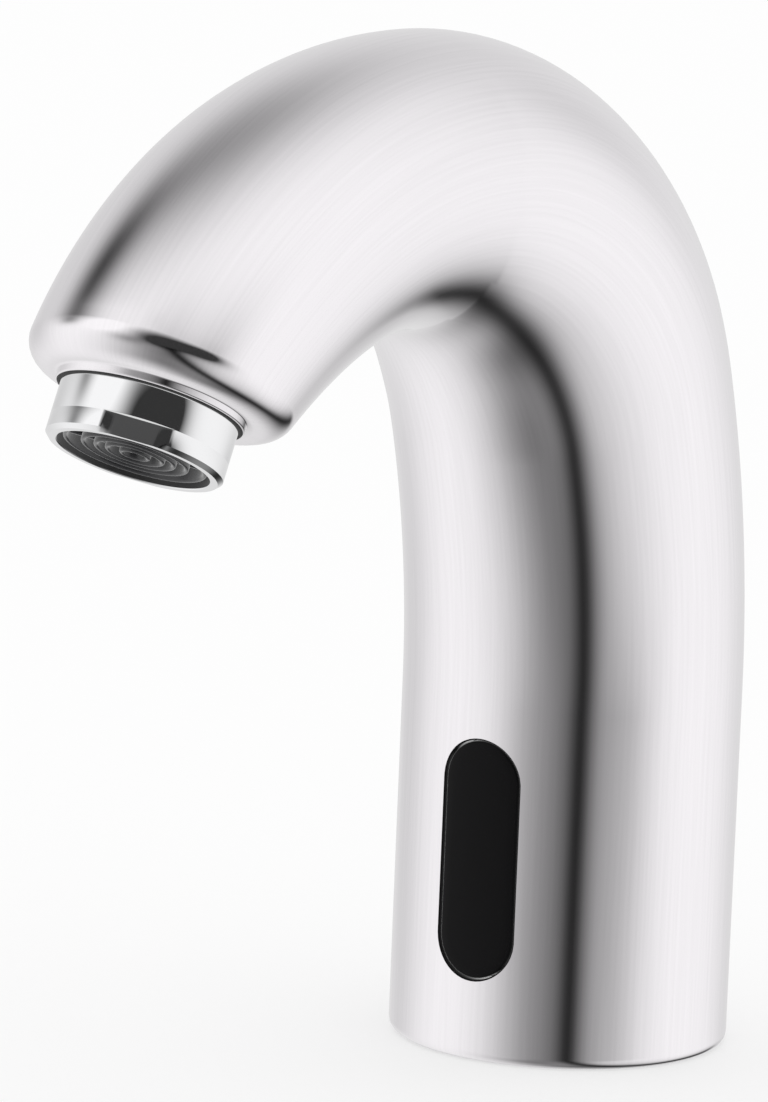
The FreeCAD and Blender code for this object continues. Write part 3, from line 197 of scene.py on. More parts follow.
FINISHES = {
    "satin_chrome": surface(
        "satin_chrome", (0.955, 0.930, 0.955), 0.09, 1.0, grain=1800.0, spread=0.02, relief=0.0006,
        shade=0.04, place=along_tube),
    "polished_chrome": surface(
        "polished_chrome", (0.92, 0.92, 0.93), 0.05, 1.0, grain=900.0, spread=0.015, relief=0.0002),
    "window_black": surface(
        "window_black", (0.0060, 0.0058, 0.0062), 0.10, specular=0.06, grain=700.0, spread=0.02,
        relief=0.0004),
    "black_rubber": surface(
        "black_rubber", (0.018, 0.018, 0.019), 0.62, grain=3000.0, spread=0.06, relief=0.02,
        shade=0.3),
    "brass": surface(
        "brass", (0.72, 0.53, 0.25), 0.28, 1.0, grain=1500.0, spread=0.06, relief=0.004,
        shade=0.12),
    "steel": surface(
        "steel", (0.66, 0.66, 0.67), 0.30, 1.0, grain=2200.0, spread=0.05, relief=0.003,
        shade=0.08, stretch=(1.0, 1.0, 0.1)),
    "valve_nylon": surface(
        "valve_nylon", (0.055, 0.057, 0.062), 0.48, grain=2600.0, spread=0.05, relief=0.008,
        shade=0.15),
    "white_acetal": surface(
        "white_acetal", (0.80, 0.80, 0.78), 0.38, grain=1800.0, spread=0.04, relief=0.004,
        shade=0.04),
    "grille_grey": surface(
        "grille_grey", (0.045, 0.045, 0.048), 0.22, grain=2400.0, spread=0.05, relief=0.006,
        shade=0.12),
    "copper": surface(
        "copper", (0.70, 0.30, 0.16), 0.32, 0.9, grain=5200.0, spread=0.06, relief=0.03,
        shade=0.2, stretch=(0.05, 0.05, 1.0)),
    "board_green": surface(
        "board_green", (0.018, 0.120, 0.050), 0.36, grain=1400.0, spread=0.05, relief=0.004,
        shade=0.25),
    "chip_black": surface(
        "chip_black", (0.020, 0.020, 0.021), 0.55, grain=4200.0, spread=0.05, relief=0.006,
        shade=0.15),
    "diode_tint": surface(
        "diode_tint", (0.045, 0.022, 0.055), 0.12, specular=0.6, grain=900.0, spread=0.02,
        relief=0.002),
}

# ---------------------------------------------------------------- meshes

def add_piece(name, points, faces, finish, body, replaced=None, straightened=None, normals=None):
    """A closed mesh from points in millimetres, its faces turned outwards by its signed volume."""
    points = np.asarray(points, float).reshape(-1, 3)
    mesh = bpy.data.meshes.new(name)
    mesh.from_pydata((points * MM).tolist(), [], [list(map(int, face)) for face in faces])
    mesh.validate()
    mesh.calc_loop_triangles()
    triangles = np.zeros(len(mesh.loop_triangles) * 3, np.int32)
    mesh.loop_triangles.foreach_get("vertices", triangles)
    a, b, c = (points[triangles.reshape(-1, 3)[:, k]] for k in range(3))
    if np.einsum("ij,ij->i", a, np.cross(b, c)).sum() < 0:
        mesh.flip_normals()
    mesh.polygons.foreach_set("use_smooth", np.ones(len(mesh.polygons), bool))
    mesh.set_sharp_from_angle(angle=SHARP_EDGE)
    if normals is not None:
        mesh.normals_split_custom_set_from_vertices(normals.tolist())
    if straightened is not None:
        layer = mesh.attributes.new("straightened", "FLOAT_VECTOR", "POINT")
        layer.data.foreach_set("vector", (np.asarray(straightened) * MM).astype(np.float32).ravel())
    mesh.materials.append(FINISHES[finish])
    piece = bpy.data.objects.new(name, mesh)
    bpy.context.scene.collection.objects.link(piece)
    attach(piece, body)
    piece.visible_glossy = False                # the studio's panels alone show in the curves
    if replaced:
        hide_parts(replaced)
    return piece


def paint(piece, finish, first, last):
    """A second finish for the piece's faces from first up to last."""
    piece.data.materials.append(FINISHES[finish])
    number = np.zeros(len(piece.data.polygons), np.int32)
    number[first:last] = 1
    piece.data.polygons.foreach_set("material_index", number)


def quads(index):
    """Faces between neighbouring loops of point numbers, each loop closed on itself."""
    near, far = index[:-1], index[1:]
    return np.stack([near, np.roll(near, -1, 1), np.roll(far, -1, 1), far], -1).reshape(-1, 4)


def ease(share):
    """The smooth step: three times the square less twice the cube."""
    share = np.clip(share, 0, 1)
    return share * share * (3 - 2 * share)


# ---------------------------------------------------------------- body

ARCS = [math.radians(turn) * radius for radius, turn in BENDS]
SPOUT_START = COLUMN_HEIGHT + ARCS[0] + ARCS[1]
LENGTH = SPOUT_START + ARCS[2]


def centreline(run):
    """(y, z, turn) at a run along the middle of the tube: straight up, three bends one after
    another, then straight on."""
    run = np.asarray(run, float)
    y, z, turn = np.zeros_like(run), np.minimum(run, COLUMN_HEIGHT), np.zeros_like(run)
    start = COLUMN_HEIGHT
    for (radius, _), arc in zip(BENDS, ARCS):
        after = turn + np.clip(run - start, 0, arc) / radius
        y = y - radius * (np.cos(turn) - np.cos(after))
        z = z + radius * (np.sin(after) - np.sin(turn))
        turn, start = after, start + arc
    beyond = np.clip(run - LENGTH, 0, None)
    return y - beyond * np.sin(turn), z + beyond * np.cos(turn), turn


def tube_radius(run):
    """Column radius, less the neck's smooth taper and the tip's cubic one."""
    turn = np.degrees(centreline(run)[2])
    neck = NECK_TAPER * ease((turn - NECK_FROM) / (NECK_TO - NECK_FROM))
    return COLUMN_RADIUS - neck - TIP_TAPER * np.clip((run - SPOUT_START) / ARCS[2], 0, None) ** 3


def on_tube(run, angle, inside=0.0):
    """Point of the tube's skin: the centreline's point plus the radius along the section's own
    direction, which is forwards at angle 0 and to +X at a quarter turn."""
    run, angle = np.broadcast_arrays(np.asarray(run, float), angle)
    y, z, turn = centreline(run)
    reach = tube_radius(run) - inside
    return np.stack([reach * np.sin(angle),
                     y - reach * np.cos(angle) * np.cos(turn),
                     z - reach * np.cos(angle) * np.sin(turn)], -1)


def tube_normal(run, angle):
    """Cross product of the skin's two directions, each from a short step."""
    step = 1e-3
    along = on_tube(run + step, angle) - on_tube(run - step, angle)
    around = on_tube(run, angle + step) - on_tube(run, angle - step)
    normal = np.cross(around, along)
    return normal / np.linalg.norm(normal, axis=-1, keepdims=True)


def halve(low, high, below):
    """The place between low and high where below(place) turns false, by halving."""
    for _ in range(40):
        middle = (low + high) / 2
        under = below(middle)
        low, high = np.where(under, middle, low), np.where(under, high, middle)
    return (low + high) / 2


END_Y, END_Z, _ = (float(v) for v in centreline(LENGTH))
OUTWARD = np.array([0.0, -math.sin(OUTLET_LEAN), -math.cos(OUTLET_LEAN)])
FORWARD = np.array([0.0, -math.cos(OUTLET_LEAN), math.sin(OUTLET_LEAN)])
SIDEWAYS = np.array([1.0, 0.0, 0.0])
FACE = np.array([0.0, END_Y, END_Z]) + FACE_BEYOND * OUTWARD - OUTLET_SETBACK * FORWARD


def at_outlet(radius, angle, height):
    """Point at a radius and angle about the outlet axis, at a height out of the end face."""
    radius, angle, height = np.broadcast_arrays(radius, angle, height)
    return (FACE + (radius * np.cos(angle))[..., None] * SIDEWAYS
            + (radius * np.sin(angle))[..., None] * FORWARD + height[..., None] * OUTWARD)


def thread(angle, height, crest, cut):
    """Radius of a right-hand V thread: a triangle wave of the height less the angle's share."""
    phase = (height / THREAD_PITCH + angle / (2 * math.pi)) % 1.0
    return crest + cut * (1 - np.abs(2 * phase - 1))


def slot_ring(base, way, radius, depth, skin):
    """Loop at a distance from the slot's middle line, pressed a depth below a round skin."""
    x = radius * way[:, 0]
    z = base + radius * way[:, 1]
    return np.stack([x, -np.sqrt(skin ** 2 - x ** 2) + depth, z], -1)


WINDOW_MIDDLE = WINDOW_BOTTOM + WINDOW_LENGTH / 2
WINDOW_REACH = WINDOW_LENGTH / 2 - WINDOW_HALF


def make_spout_shell():
    """One closed skin: up the cavity's wall and back down outside it, over the rounded tip, into
    the aerator's socket and through the ferrule's hole into the cavity. The window is a slot in
    it, woven in between the grid's cells and a round-ended outline."""
    columns, front = SHELL_COLUMNS, SHELL_COLUMNS // 2
    angle = -math.pi + 2 * math.pi * np.arange(columns) / columns
    upright = np.linspace(FOOT_ROUND, COLUMN_HEIGHT, UPRIGHT_ROWS)
    slot_columns = (front - SLOT_SIDE, front + SLOT_SIDE)

    # inside, from the deck up to the cavity's end
    cavity_end = SPOUT_START + CAVITY_SHARE * ARCS[2]
    inner_runs = np.concatenate([upright, np.linspace(COLUMN_HEIGHT, cavity_end, CAVITY_ROWS)[1:]])
    inner = on_tube(inner_runs[:, None], angle[None], WALL)
    inner_foot = on_tube(np.zeros((1, 1)), angle[None], WALL)

    # outside: foot round, straight column, bends up to where the tip's round begins
    lift = np.radians([0.0, 22.5, 45.0, 67.5, 90.0])[:, None]
    foot = on_tube(FOOT_ROUND * (1 - np.sin(lift)), angle[None],
                   FOOT_ROUND * (1 - np.cos(lift)))[::-1]

    def short(run):
        centre = on_tube(run, angle) - TIP_ROUND * tube_normal(run, angle)
        return (centre - FACE) @ OUTWARD < -TIP_ROUND

    tip = halve(np.full(columns, SPOUT_START), np.full(columns, LENGTH + TIP_RUN), short)
    share = np.linspace(0, 1, BEND_ROWS)[1:, None]
    outer_runs = COLUMN_HEIGHT + share * (tip[None] - COLUMN_HEIGHT)
    bends = on_tube(outer_runs, angle[None])
    column = on_tube(upright[:, None], angle[None])[1:]

    # tip round: a ball rolled where the skin and the end face meet
    normal = tube_normal(tip, angle)
    ball = on_tube(tip, angle) - TIP_ROUND * normal
    swing = np.arccos(normal @ OUTWARD)

    def rolled(part):
        leaned = (np.sin((1 - part) * swing)[..., None] * normal
                  + np.sin(part * swing)[..., None] * OUTWARD) / np.sin(swing)[..., None]
        return ball + TIP_ROUND * leaned

    def off_axis(points):
        return np.hypot((points - FACE) @ SIDEWAYS, (points - FACE) @ FORWARD)

    rim = SEAT_RADIUS + SEAT_EDGE
    stop = halve(np.zeros(columns), np.ones(columns), lambda part: off_axis(rolled(part)) > rim)
    tip_loops = np.stack([rolled(stop * part) for part in np.linspace(0, 1, TIP_ROWS)[1:]])
    last = tip_loops[-1]
    around = np.arctan2((last - FACE) @ FORWARD, (last - FACE) @ SIDEWAYS)
    level = (last - FACE) @ OUTWARD

    # outlet: raised seat ring, a thread, its floor, and the ferrule's hole through to the cavity
    middle = np.stack([last + part * (at_outlet(rim, around, level) - last) for part in (0.5, 1.0)])
    wall = [at_outlet(SEAT_RADIUS, around, SEAT_EDGE),
            at_outlet(SEAT_RADIUS, around, SEAT_HEIGHT - SEAT_EDGE),
            at_outlet(SEAT_RADIUS - SEAT_EDGE, around, SEAT_HEIGHT),
            at_outlet(THREAD_RADIUS + SOCKET_CUT, around, SEAT_HEIGHT)]
    depths = np.arange(SEAT_HEIGHT - SOCKET_CUT, 0.5 - SOCKET_DEPTH, -THREAD_PITCH / THREAD_STEPS)
    socket = at_outlet(thread(around[None], depths[:, None], THREAD_RADIUS, SOCKET_CUT),
                       around[None], depths[:, None])
    floor = [at_outlet(radius, around, -SOCKET_DEPTH) for radius in (THREAD_RADIUS, FERRULE_RADIUS)]
    cap_y, cap_z, cap_turn = (float(v) for v in centreline(cavity_end))
    cap_way = np.array([0.0, -math.sin(cap_turn), math.cos(cap_turn)])
    lip = at_outlet(FERRULE_RADIUS, around, -SOCKET_DEPTH)
    sink = ((np.array([0.0, cap_y, cap_z]) - lip) @ cap_way) / (OUTWARD @ cap_way)
    hole = lip + sink[:, None] * OUTWARD

    chain = np.concatenate([hole[None], inner[::-1], inner_foot, foot, column, bends, tip_loops,
                            middle, np.stack(wall), socket, np.stack(floor)])
    runs = np.concatenate([[cavity_end], inner_runs[::-1], [0.0],
                           np.linspace(0, FOOT_ROUND, len(foot)),
                           upright[1:], LENGTH * share[:, 0] + COLUMN_HEIGHT * (1 - share[:, 0])])
    runs = np.concatenate([runs, np.full(len(chain) - len(runs), LENGTH)])
    normals = np.zeros_like(chain)              # the skin's own, worked out; none given elsewhere
    skin = 2 + len(inner_runs) + len(foot) - 1
    bends_from = skin + len(upright)
    normals[skin:bends_from] = tube_normal(upright[:, None], angle[None])
    normals[bends_from:bends_from + len(outer_runs)] = tube_normal(outer_runs, angle[None])
    index = np.arange(len(chain) * columns).reshape(len(chain), columns)
    ring = np.concatenate([index, index[:1]])
    cell = np.ones((len(chain), columns), bool)

    def window_cells(first, step):
        """Border of the cells that give way to the slot, in loop order, from the grid."""
        rows = first + step * np.arange(SLOT_ROWS[0], SLOT_ROWS[1] + 1)
        cells = rows[:-1] if step > 0 else rows[1:]
        cell[np.ix_(cells, np.arange(*slot_columns))] = False
        left, right = slot_columns
        wide = np.arange(left, right + 1)
        return np.concatenate([index[rows[0], wide], index[rows[1:], right],
                               index[rows[-1], wide[-2::-1]], index[rows[-2:0:-1], left]])

    border_in = window_cells(len(inner_runs), -1)     # from the cavity's lowest upright row
    border_out = window_cells(skin, 1)

    flat = chain.reshape(-1, 3)
    edge = flat[border_out]
    base = np.clip(edge[:, 2], WINDOW_MIDDLE - WINDOW_REACH, WINDOW_MIDDLE + WINDOW_REACH)
    way = np.stack([edge[:, 0], edge[:, 2] - base], -1)
    reach = np.linalg.norm(way, axis=1)
    way = way / reach[:, None]
    lip_at = WINDOW_HALF + SLOT_BEVEL
    rings = [slot_ring(base, way, lip_at + part * (reach - lip_at), 0.0, COLUMN_RADIUS)
             for part in (0.75, 0.5, 0.25, 0.08, 0.0)]
    woven = len(rings)                          # strips of the skin round the slot, up to its edge
    on_skin = np.concatenate(rings) * (1.0, 1.0, 0.0) / COLUMN_RADIUS
    rings += [slot_ring(base, way, WINDOW_HALF + SLOT_BEVEL * (1 - math.sin(a)),
                        SLOT_BEVEL * (1 - math.cos(a)), COLUMN_RADIUS)
              for a in np.radians((30.0, 60.0, 90.0))]
    cavity = COLUMN_RADIUS - WALL
    rings += [slot_ring(base, way, WINDOW_HALF, 0.0, cavity)]
    walls = len(rings)                          # and on through the wall
    inner_reach = np.linalg.norm(np.stack([flat[border_in][:, 0], edge[:, 2] - base], -1), axis=1)
    rings += [slot_ring(base, way, WINDOW_HALF + part * (inner_reach - WINDOW_HALF), 0.0, cavity)
              for part in (0.35, 0.7)]
    rings = np.stack(rings)
    slot_index = len(flat) + np.arange(rings.size // 3).reshape(rings.shape[:2])
    slot_loops = np.concatenate([border_out[None], slot_index, border_in[None]])

    body_faces = quads(ring).reshape(len(chain), columns, 4)[cell]
    points = np.concatenate([flat, rings.reshape(-1, 3)])
    normals = np.concatenate([normals.reshape(-1, 3), on_skin,
                              np.zeros((len(points) - len(flat) - len(on_skin), 3))])
    straight = np.stack([COLUMN_RADIUS * np.sin(np.broadcast_to(angle, index.shape)),
                         -COLUMN_RADIUS * np.cos(np.broadcast_to(angle, index.shape)),
                         np.broadcast_to(runs[:, None], index.shape)], -1).reshape(-1, 3)
    straight = np.concatenate([straight, rings.reshape(-1, 3)])
    faces = [*body_faces, *quads(slot_loops)]

    for lug in LUG_ANGLES:
        turn, out = math.radians(lug), LUG_OFFSET + LUG_SINK
        extra, more = drilled_lug(out * math.cos(turn), out * math.sin(turn), len(points))
        points, straight = np.concatenate([points, extra]), np.concatenate([straight, extra])
        normals = np.concatenate([normals, 0 * extra])
        faces += more
    shell = add_piece("spout_shell", points, faces, "satin_chrome", "tap", "spout_body", straight,
                      normals)
    # painted shade: the slot's rounded lip and its wall through the body, chrome in the solid, take
    # the window's black to stand for the shaded gap round the lens
    paint(shell, "window_black", len(body_faces) + woven * len(edge),
          len(body_faces) + walls * len(edge))


def drilled_lug(x, y, start):
    """A round post with a blind screw hole from below: its profile turned about its own axis."""
    top = LUG_LOW + LUG_DRILL
    radius = LUG_RADIUS - 0.5
    profile = np.array([(AXIS_PIN, top), (LUG_HOLE, top), (LUG_HOLE, LUG_LOW), (radius, LUG_LOW),
                        (radius, LUG_HIGH), (AXIS_PIN, LUG_HIGH)])
    turn = np.linspace(0, 2 * math.pi, LUG_SIDES, endpoint=False)
    points = np.stack([x + profile[:, :1] * np.cos(turn), y + profile[:, :1] * np.sin(turn),
                       np.repeat(profile[:, 1:], LUG_SIDES, 1)], -1)
    index = start + np.arange(points.size // 3).reshape(len(profile), LUG_SIDES)
    faces = list(quads(index)) + [index[0][::-1], index[-1]]
    return points.reshape(-1, 3), faces


def make_window_lens():
    """The smoked window: loops about the slot's middle line, over the curved front, round its
    edge, back along the side, out over the flange, and up into the hollow behind the skin."""
    arc = np.linspace(0, math.pi, LENS_END)
    side = np.linspace(1, -1, LENS_SIDE)[1:-1]
    end, flank = np.stack([np.cos(arc), np.sin(arc)], -1), np.tile([1.0, 0.0], (len(side), 1))
    way = np.concatenate([end, -flank, -end, flank])
    one = np.ones(LENS_END)
    base = WINDOW_MIDDLE + WINDOW_REACH * np.concatenate([one, side, -one, -side])
    half, front, edge = WINDOW_HALF - WINDOW_GAP, COLUMN_RADIUS - WINDOW_INSET, LENS_EDGE
    loops = [slot_ring(base, way, radius, 0.0, front)
             for radius in (0.0, 1.5, 3.0, 4.5, half - edge)]
    loops += [slot_ring(base, way, half - edge * (1 - math.sin(a)), edge * (1 - math.cos(a)), front)
              for a in np.radians((30.0, 60.0, 90.0))]
    loops += [slot_ring(base, way, half, 0.0, FLANGE_FRONT),
              slot_ring(base, way, WINDOW_HALF + FLANGE_LIP, 0.0, FLANGE_FRONT)]
    for radius in (WINDOW_HALF + FLANGE_LIP, half - WINDOW_SIDE):
        back = slot_ring(base, way, radius, 0.0, FLANGE_FRONT)
        back[:, 1] = -FLANGE_BACK
        loops.append(back)
    loops += [slot_ring(base, way, radius, 0.0, front - WINDOW_SKIN)
              for radius in (half - WINDOW_SIDE, 2.4, 0.0)]
    loops = np.stack(loops)
    index = np.arange(loops.size // 3).reshape(loops.shape[:2])
    lens = add_piece("window_lens", loops, list(quads(index)), "window_black", "tap",
                     "sensor_window")
    close_seams(lens)


def close_seams(piece):
    """Merge points that lie on one another."""
    work = bmesh.new()
    work.from_mesh(piece.data)
    bmesh.ops.remove_doubles(work, verts=work.verts, dist=1e-7)
    work.to_mesh(piece.data)
    work.free()


def make_aerator_collar():
    """The polished collar: a profile turned about the outlet axis, with a V thread on its neck
    and, over the flats' height, the radius cut to the flats' straight sides."""
    columns = COLLAR_COLUMNS
    angle = 2 * math.pi * np.arange(columns) / columns
    slack = np.abs(np.cos(angle - FLAT_AT))
    flat = np.where(slack > 0.5, FLAT_ACROSS / 2 / np.maximum(slack, 0.5), COLLAR_RADIUS)
    flat_low, high, chamfer = COLLAR_HEIGHT - FLAT_HEIGHT, COLLAR_HEIGHT, COLLAR_CHAMFER
    ledge_high = high - MOUTH_DEPTH
    ledge_low = ledge_high - LEDGE_THICKNESS
    root = THREAD_CREST - THREAD_CUT
    neck = np.arange(HOUSING_LOW + 0.3, COLLAR_LOW - 0.6, THREAD_PITCH / THREAD_STEPS)
    rows = [(AERATOR_BORE, HOUSING_LOW), (root, HOUSING_LOW)]
    rows += [(None, height) for height in neck]
    rows += [(root, COLLAR_LOW - 0.3), (root, COLLAR_LOW),
             (COLLAR_RADIUS - chamfer, COLLAR_LOW), (COLLAR_RADIUS, chamfer + COLLAR_LOW),
             (COLLAR_RADIUS, flat_low - chamfer), (COLLAR_RADIUS - 0.03, flat_low)]
    outside = [(COLLAR_RADIUS - 0.03, flat_low + 0.02), (COLLAR_RADIUS, flat_low + 0.1),
               (COLLAR_RADIUS, high - COLLAR_EDGE), (COLLAR_RADIUS - COLLAR_EDGE, high)]
    inside = [(MOUTH_RADIUS + chamfer, high), (MOUTH_RADIUS, high - chamfer),
              (MOUTH_RADIUS, ledge_high), (LEDGE_RADIUS, ledge_high), (LEDGE_RADIUS, ledge_low),
              (AERATOR_BORE, ledge_low)]
    loops = []
    for radius, height in rows:
        reach = thread(angle, height, root, THREAD_CUT) if radius is None else radius
        loops.append(at_outlet(reach, angle, height))
    loops += [at_outlet(np.minimum(radius, flat), angle, height) for radius, height in outside]
    loops += [at_outlet(radius, angle, height) for radius, height in inside]
    loops = np.stack(loops)
    index = np.arange(loops.size // 3).reshape(loops.shape[:2])
    collar = add_piece("aerator_collar", loops, list(quads(np.concatenate([index, index[:1]]))),
                       "polished_chrome", "aerator_group", "aerator_housing")
    inner_rows = len(loops) - len(inside)
    # painted shade: the mouth's inner wall, its ledge and the ledge's wall, chrome in the solid,
    # take the black finish to stand for the shade inside the mouth
    paint(collar, "chip_black", (inner_rows + 1) * columns, (inner_rows + 4) * columns)


def turned(profile):
    """Points and faces of a closed profile of (radius, height) turned about the outlet axis."""
    columns = TURNED_COLUMNS
    angle = 2 * math.pi * np.arange(columns) / columns
    radius, height = np.array(profile, float).T
    points = at_outlet(radius[:, None], angle[None], height[:, None])
    index = np.arange(radius.size * columns).reshape(radius.size, columns)
    return points.reshape(-1, 3), quads(np.concatenate([index, index[:1]]))


def rounded_top(outer, width, low, high):
    """Profile of a ring whose top is a half circle."""
    arc = np.linspace(0, math.pi, 9)
    middle, half = outer - width / 2, width / 2
    top = [(middle + half * math.cos(a), high - half + half * math.sin(a)) for a in arc]
    return [(outer - width, low), (outer, low)] + top


def spoke(turn, reach, width, low, high):
    """A bar right across the axis, its section a rectangle with its two top corners cut."""
    cut = width / 4
    section = np.array([(-width / 2, low), (width / 2, low), (width / 2, high - cut),
                        (width / 2 - cut, high), (cut - width / 2, high), (-width / 2, high - cut)])
    along = np.linspace(-reach, reach, 9)[:, None]
    side, height = section[None, :, 0], section[None, :, 1]
    points = at_outlet(np.hypot(along, side), turn + np.arctan2(side, along), height + 0 * along)
    index = np.arange(along.size * len(section)).reshape(along.size, len(section))
    return points.reshape(-1, 3), [*quads(index), index[0][::-1], index[-1]]


def joined(parts):
    """Points and faces of several closed shapes as one."""
    start, points, faces = 0, [], []
    for place, shape in parts:
        points.append(place)
        faces += [np.asarray(face) + start for face in shape]
        start += len(place)
    return np.concatenate(points), faces


def make_aerator_grille():
    """The nylon insert: its cup, the round-topped rings that show in the mouth and their spokes."""
    ledge_low = COLLAR_HEIGHT - MOUTH_DEPTH - LEDGE_THICKNESS
    cup, bore, rim = AERATOR_BORE - SLIP, AERATOR_BORE - SLIP - CUP_WALL, RING_OUTER[0]
    top = COLLAR_HEIGHT - GRILLE_RECESS
    low = top - GRILLE_DEPTH
    rim_top = rounded_top(rim, RING_WIDTH, ledge_low, top)[2:]
    floor, seat = ledge_low - CUP_FLOOR, ledge_low - 0.05
    shapes = [turned([(cup, ledge_low - CUP_LENGTH), (cup, seat), (rim, seat), *rim_top,
                      (rim - RING_WIDTH, floor), (bore, floor), (bore, ledge_low - CUP_LENGTH)])]
    shapes += [turned(rounded_top(outer, RING_WIDTH, low, top)) for outer in RING_OUTER[1:]]
    shapes += [spoke(math.radians(60 * number + 90), rim - RING_WIDTH / 2, SPOKE_WIDTH, low,
                     low + SPOKE_DEPTH) for number in range(3)]
    add_piece("aerator_grille", *joined(shapes), "grille_grey", "aerator_cartridge",
              "aerator_insert")


def make_gap_shade_seal():
    """A flat black rubber ring in the gap above the collar, which the solids lack; it is there as
    painted shade for the dark gap line. An ellipse turned about the axis.
    """
    arc = np.linspace(0, 2 * math.pi, 17)[:-1]
    middle = (SEAT_HEIGHT + COLLAR_LOW) / 2
    profile = [(SHADE_SEAL_RADIUS + SHADE_SEAL_HALF * math.cos(a), middle + SHADE_SEAL_THICK * math.sin(a))
               for a in arc]
    add_piece("gap_shade_seal", *turned(profile), "black_rubber", "aerator_group")


# ---------------------------------------------------------------- floor, surround and camera

def direction(turn, lift):
    """Unit vector at a turn from the camera's own side, to its right, and a lift off the level."""
    azimuth, lift = CAMERA_AZIMUTH + math.radians(turn), math.radians(lift)
    return (math.sin(azimuth) * math.cos(lift), -math.cos(azimuth) * math.cos(lift), math.sin(lift))


# panels round the tap that only reflections see: turn, lift and half width in degrees, level, and
# how crisp the edge is
BASE_LEVEL = 1.0
PANELS = {
    "rear_corner": (-157, 63, 33, -0.61, 1),
    "shaded_corner": (-119, 40, 17.5, -0.62, 1),
    "left_wall": (-138, -7, 28.8, -0.25, 1),
    "back_wall": (171, 8, 50.0, -0.22, 1),
    "near_floor": (-3, -18, 42.2, -0.77, 1),
    "under_floor": (-24, -61, 26.9, -0.46, 1),
    "left_floor": (65, -57, 26.9, -0.14, 1),
    "left_window": (-60, 38, 18.0, 0.30, 1),
    "left_low": (-34, 6, 15.0, -0.30, 1),
    "left_corner": (-101, 24, 11.0, -0.45, 1),
    "right_rear": (136, 19, 16.7, -0.14, 1),
    "right_post": (40, 14, 19.5, -1.10, 1),
    "camera_card": (2, 28, 27.5, -0.79, 1.5),
    "right_floor": (122, -80, 24.8, -0.63, 1),
    "far_floor": (153, -42, 21.7, -0.62, 1),
}
DARKEST = 0.035
# the dark gap: a strip of a ring about GAP_WAY, faded out above a slanting level and far behind
GAP_WAY, GAP_OFFSET, GAP_WIDTH, GAP_DEPTH = (81.0, 4.0), 0.235, 0.145, 0.91
GAP_SLANT, GAP_TOP, GAP_FADE = 0.28, 0.14, 9.0
GAP_BEHIND, GAP_BEHIND_FADE = 0.93, 12.0


def light_surround(world):
    """White for the eye, even light for matt surfaces, and soft panels round the tap for metal.
    Each panel adds its level times e to the power of minus its distance, where the distance is one
    less the cosine of the angle, over the same of the half width, to the power of its crispness."""
    shader = Shader(world)
    way = shader.node("ShaderNodeTexCoord", out=0)

    def towards(turn, lift):
        return shader.node("ShaderNodeVectorMath", {"operation": "DOT_PRODUCT"}, out=1, i0=way,
                           i1=direction(turn, lift))
    level = None
    for turn, lift, half, step, crisp in PANELS.values():
        away = (1 - towards(turn, lift)) * (1 / (1 - math.cos(math.radians(half))))
        away = away.math("POWER", float(crisp)) if crisp != 1 else away
        panel = (away * -1.0).math("EXPONENT") * float(step)
        level = panel + BASE_LEVEL if level is None else level + panel
    height = towards(0, 90)
    off_gap = (towards(*GAP_WAY) - GAP_OFFSET) * (1 / GAP_WIDTH)
    gap = ((off_gap * off_gap) * -1.0).math("EXPONENT")
    below = ((GAP_SLANT * towards(0, 0) - height - GAP_TOP) * GAP_FADE).math("ADD", 0.0, clamp=True)
    near = ((towards(0, 0) + GAP_BEHIND) * GAP_BEHIND_FADE).math("ADD", 0.0, clamp=True)
    level = level.math("MAXIMUM", DARKEST).math("MINIMUM", 1.0)
    level = level * (1 - gap * below * near * GAP_DEPTH)
    studio = shader.node("ShaderNodeEmission", Color=shader.node(
        "ShaderNodeCombineXYZ", X=level, Y=level, Z=level), Strength=1.0)
    plain = shader.node("ShaderNodeEmission", Color=(1.0, 1.0, 1.0, 1.0), Strength=1.0)
    reflected = shader.node("ShaderNodeLightPath", out="Is Glossy Ray")
    shown = shader.node("ShaderNodeMixShader", i0=reflected, i1=plain, i2=studio)
    shader.node("ShaderNodeOutputWorld", Surface=shown)


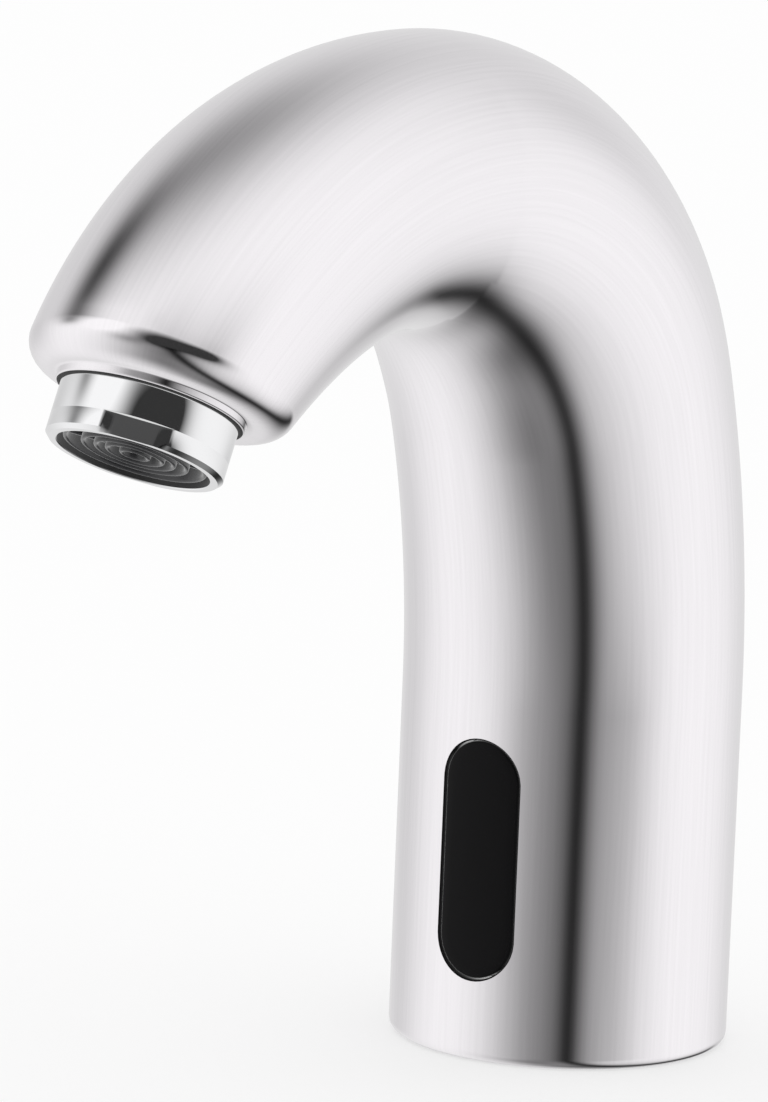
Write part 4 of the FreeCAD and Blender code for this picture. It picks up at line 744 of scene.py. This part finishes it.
def add_floor():
    """A wide pale disc on the deck's level, a little self-lit for the eye alone."""
    turn = np.linspace(0, 2 * math.pi, FLOOR_SIDES, endpoint=False)
    rim = FLOOR_RADIUS * np.stack([np.cos(turn), np.sin(turn), np.zeros(FLOOR_SIDES)], -1)
    mesh = bpy.data.meshes.new("floor")
    mesh.from_pydata(rim.tolist(), [], [list(range(FLOOR_SIDES))])
    floor = bpy.data.objects.new("floor", mesh)
    bpy.context.scene.collection.objects.link(floor)
    material = bpy.data.materials.new("floor_white")
    shader = Shader(material)
    matt = shader.node("ShaderNodeBsdfDiffuse", Color=(0.97, 0.97, 0.97, 1.0))
    glow = shader.node("ShaderNodeEmission", Color=(1.0, 1.0, 1.0, 1.0), Strength=1.0)
    seen = shader.node("ShaderNodeLightPath", out="Is Camera Ray")
    shader.node("ShaderNodeOutputMaterial",
                Surface=shader.node("ShaderNodeMixShader", i0=seen * FLOOR_GLOW, i1=matt, i2=glow))
    mesh.materials.append(material)
    floor.visible_glossy = False


def add_camera():
    """A long lens at the photograph's angle; the aim point falls on its own place in the frame."""
    data = bpy.data.cameras.new("camera")
    camera = bpy.data.objects.new("camera", data)
    bpy.context.scene.collection.objects.link(camera)
    bpy.context.scene.camera = camera
    back = Vector(direction(0, math.degrees(CAMERA_ELEVATION)))
    right = Vector((0, 0, 1)).cross(back).normalized()
    up = back.cross(right)
    right, up = (right * math.cos(CAMERA_ROLL) + up * math.sin(CAMERA_ROLL),
                 up * math.cos(CAMERA_ROLL) - right * math.sin(CAMERA_ROLL))
    facing = Matrix((right, up, back)).transposed().to_4x4()
    camera.matrix_world = Matrix.Translation(CAMERA_AIM + back * CAMERA_DISTANCE) @ facing
    long_side = max(PHOTO_SIZE)
    data.sensor_fit, data.sensor_width = "AUTO", SENSOR_WIDTH
    data.lens = FOCAL_PIXELS * data.sensor_width / long_side
    data.shift_x = (PHOTO_SIZE[0] / 2 - AIM_PIXEL[0]) / long_side
    data.shift_y = (AIM_PIXEL[1] - PHOTO_SIZE[1] / 2) / long_side
    data.clip_start, data.clip_end = 0.05, 50.0


# ---------------------------------------------------------------- the scene

make_spout_shell()
make_window_lens()
make_aerator_collar()
make_aerator_grille()
make_gap_shade_seal()

slots = {part["node"]: part["material_slot"] for part in frame["record"]["subparts"]}
for name, node in frame["nodes"].items():
    node.data.materials.clear()
    node.data.materials.append(FINISHES[slots[name]])
    node.visible_glossy = False
# the springs get meshes of their own: name, joint, free length, travel, fixed end (mm)
for name, joint, free, travel, fixed in (("check_valve_spring", "check_valve_lift", 5.9, 2.0, 20.5),
                                         ("plunger_spring", "plunger_lift", 4.5, 2.2, 62.5)):
    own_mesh(frame["nodes"][name])

world = bpy.data.worlds.new("surround")
bpy.context.scene.world = world
light_surround(world)
add_floor()
add_camera()
bpy.context.scene.view_settings.view_transform = "Standard"
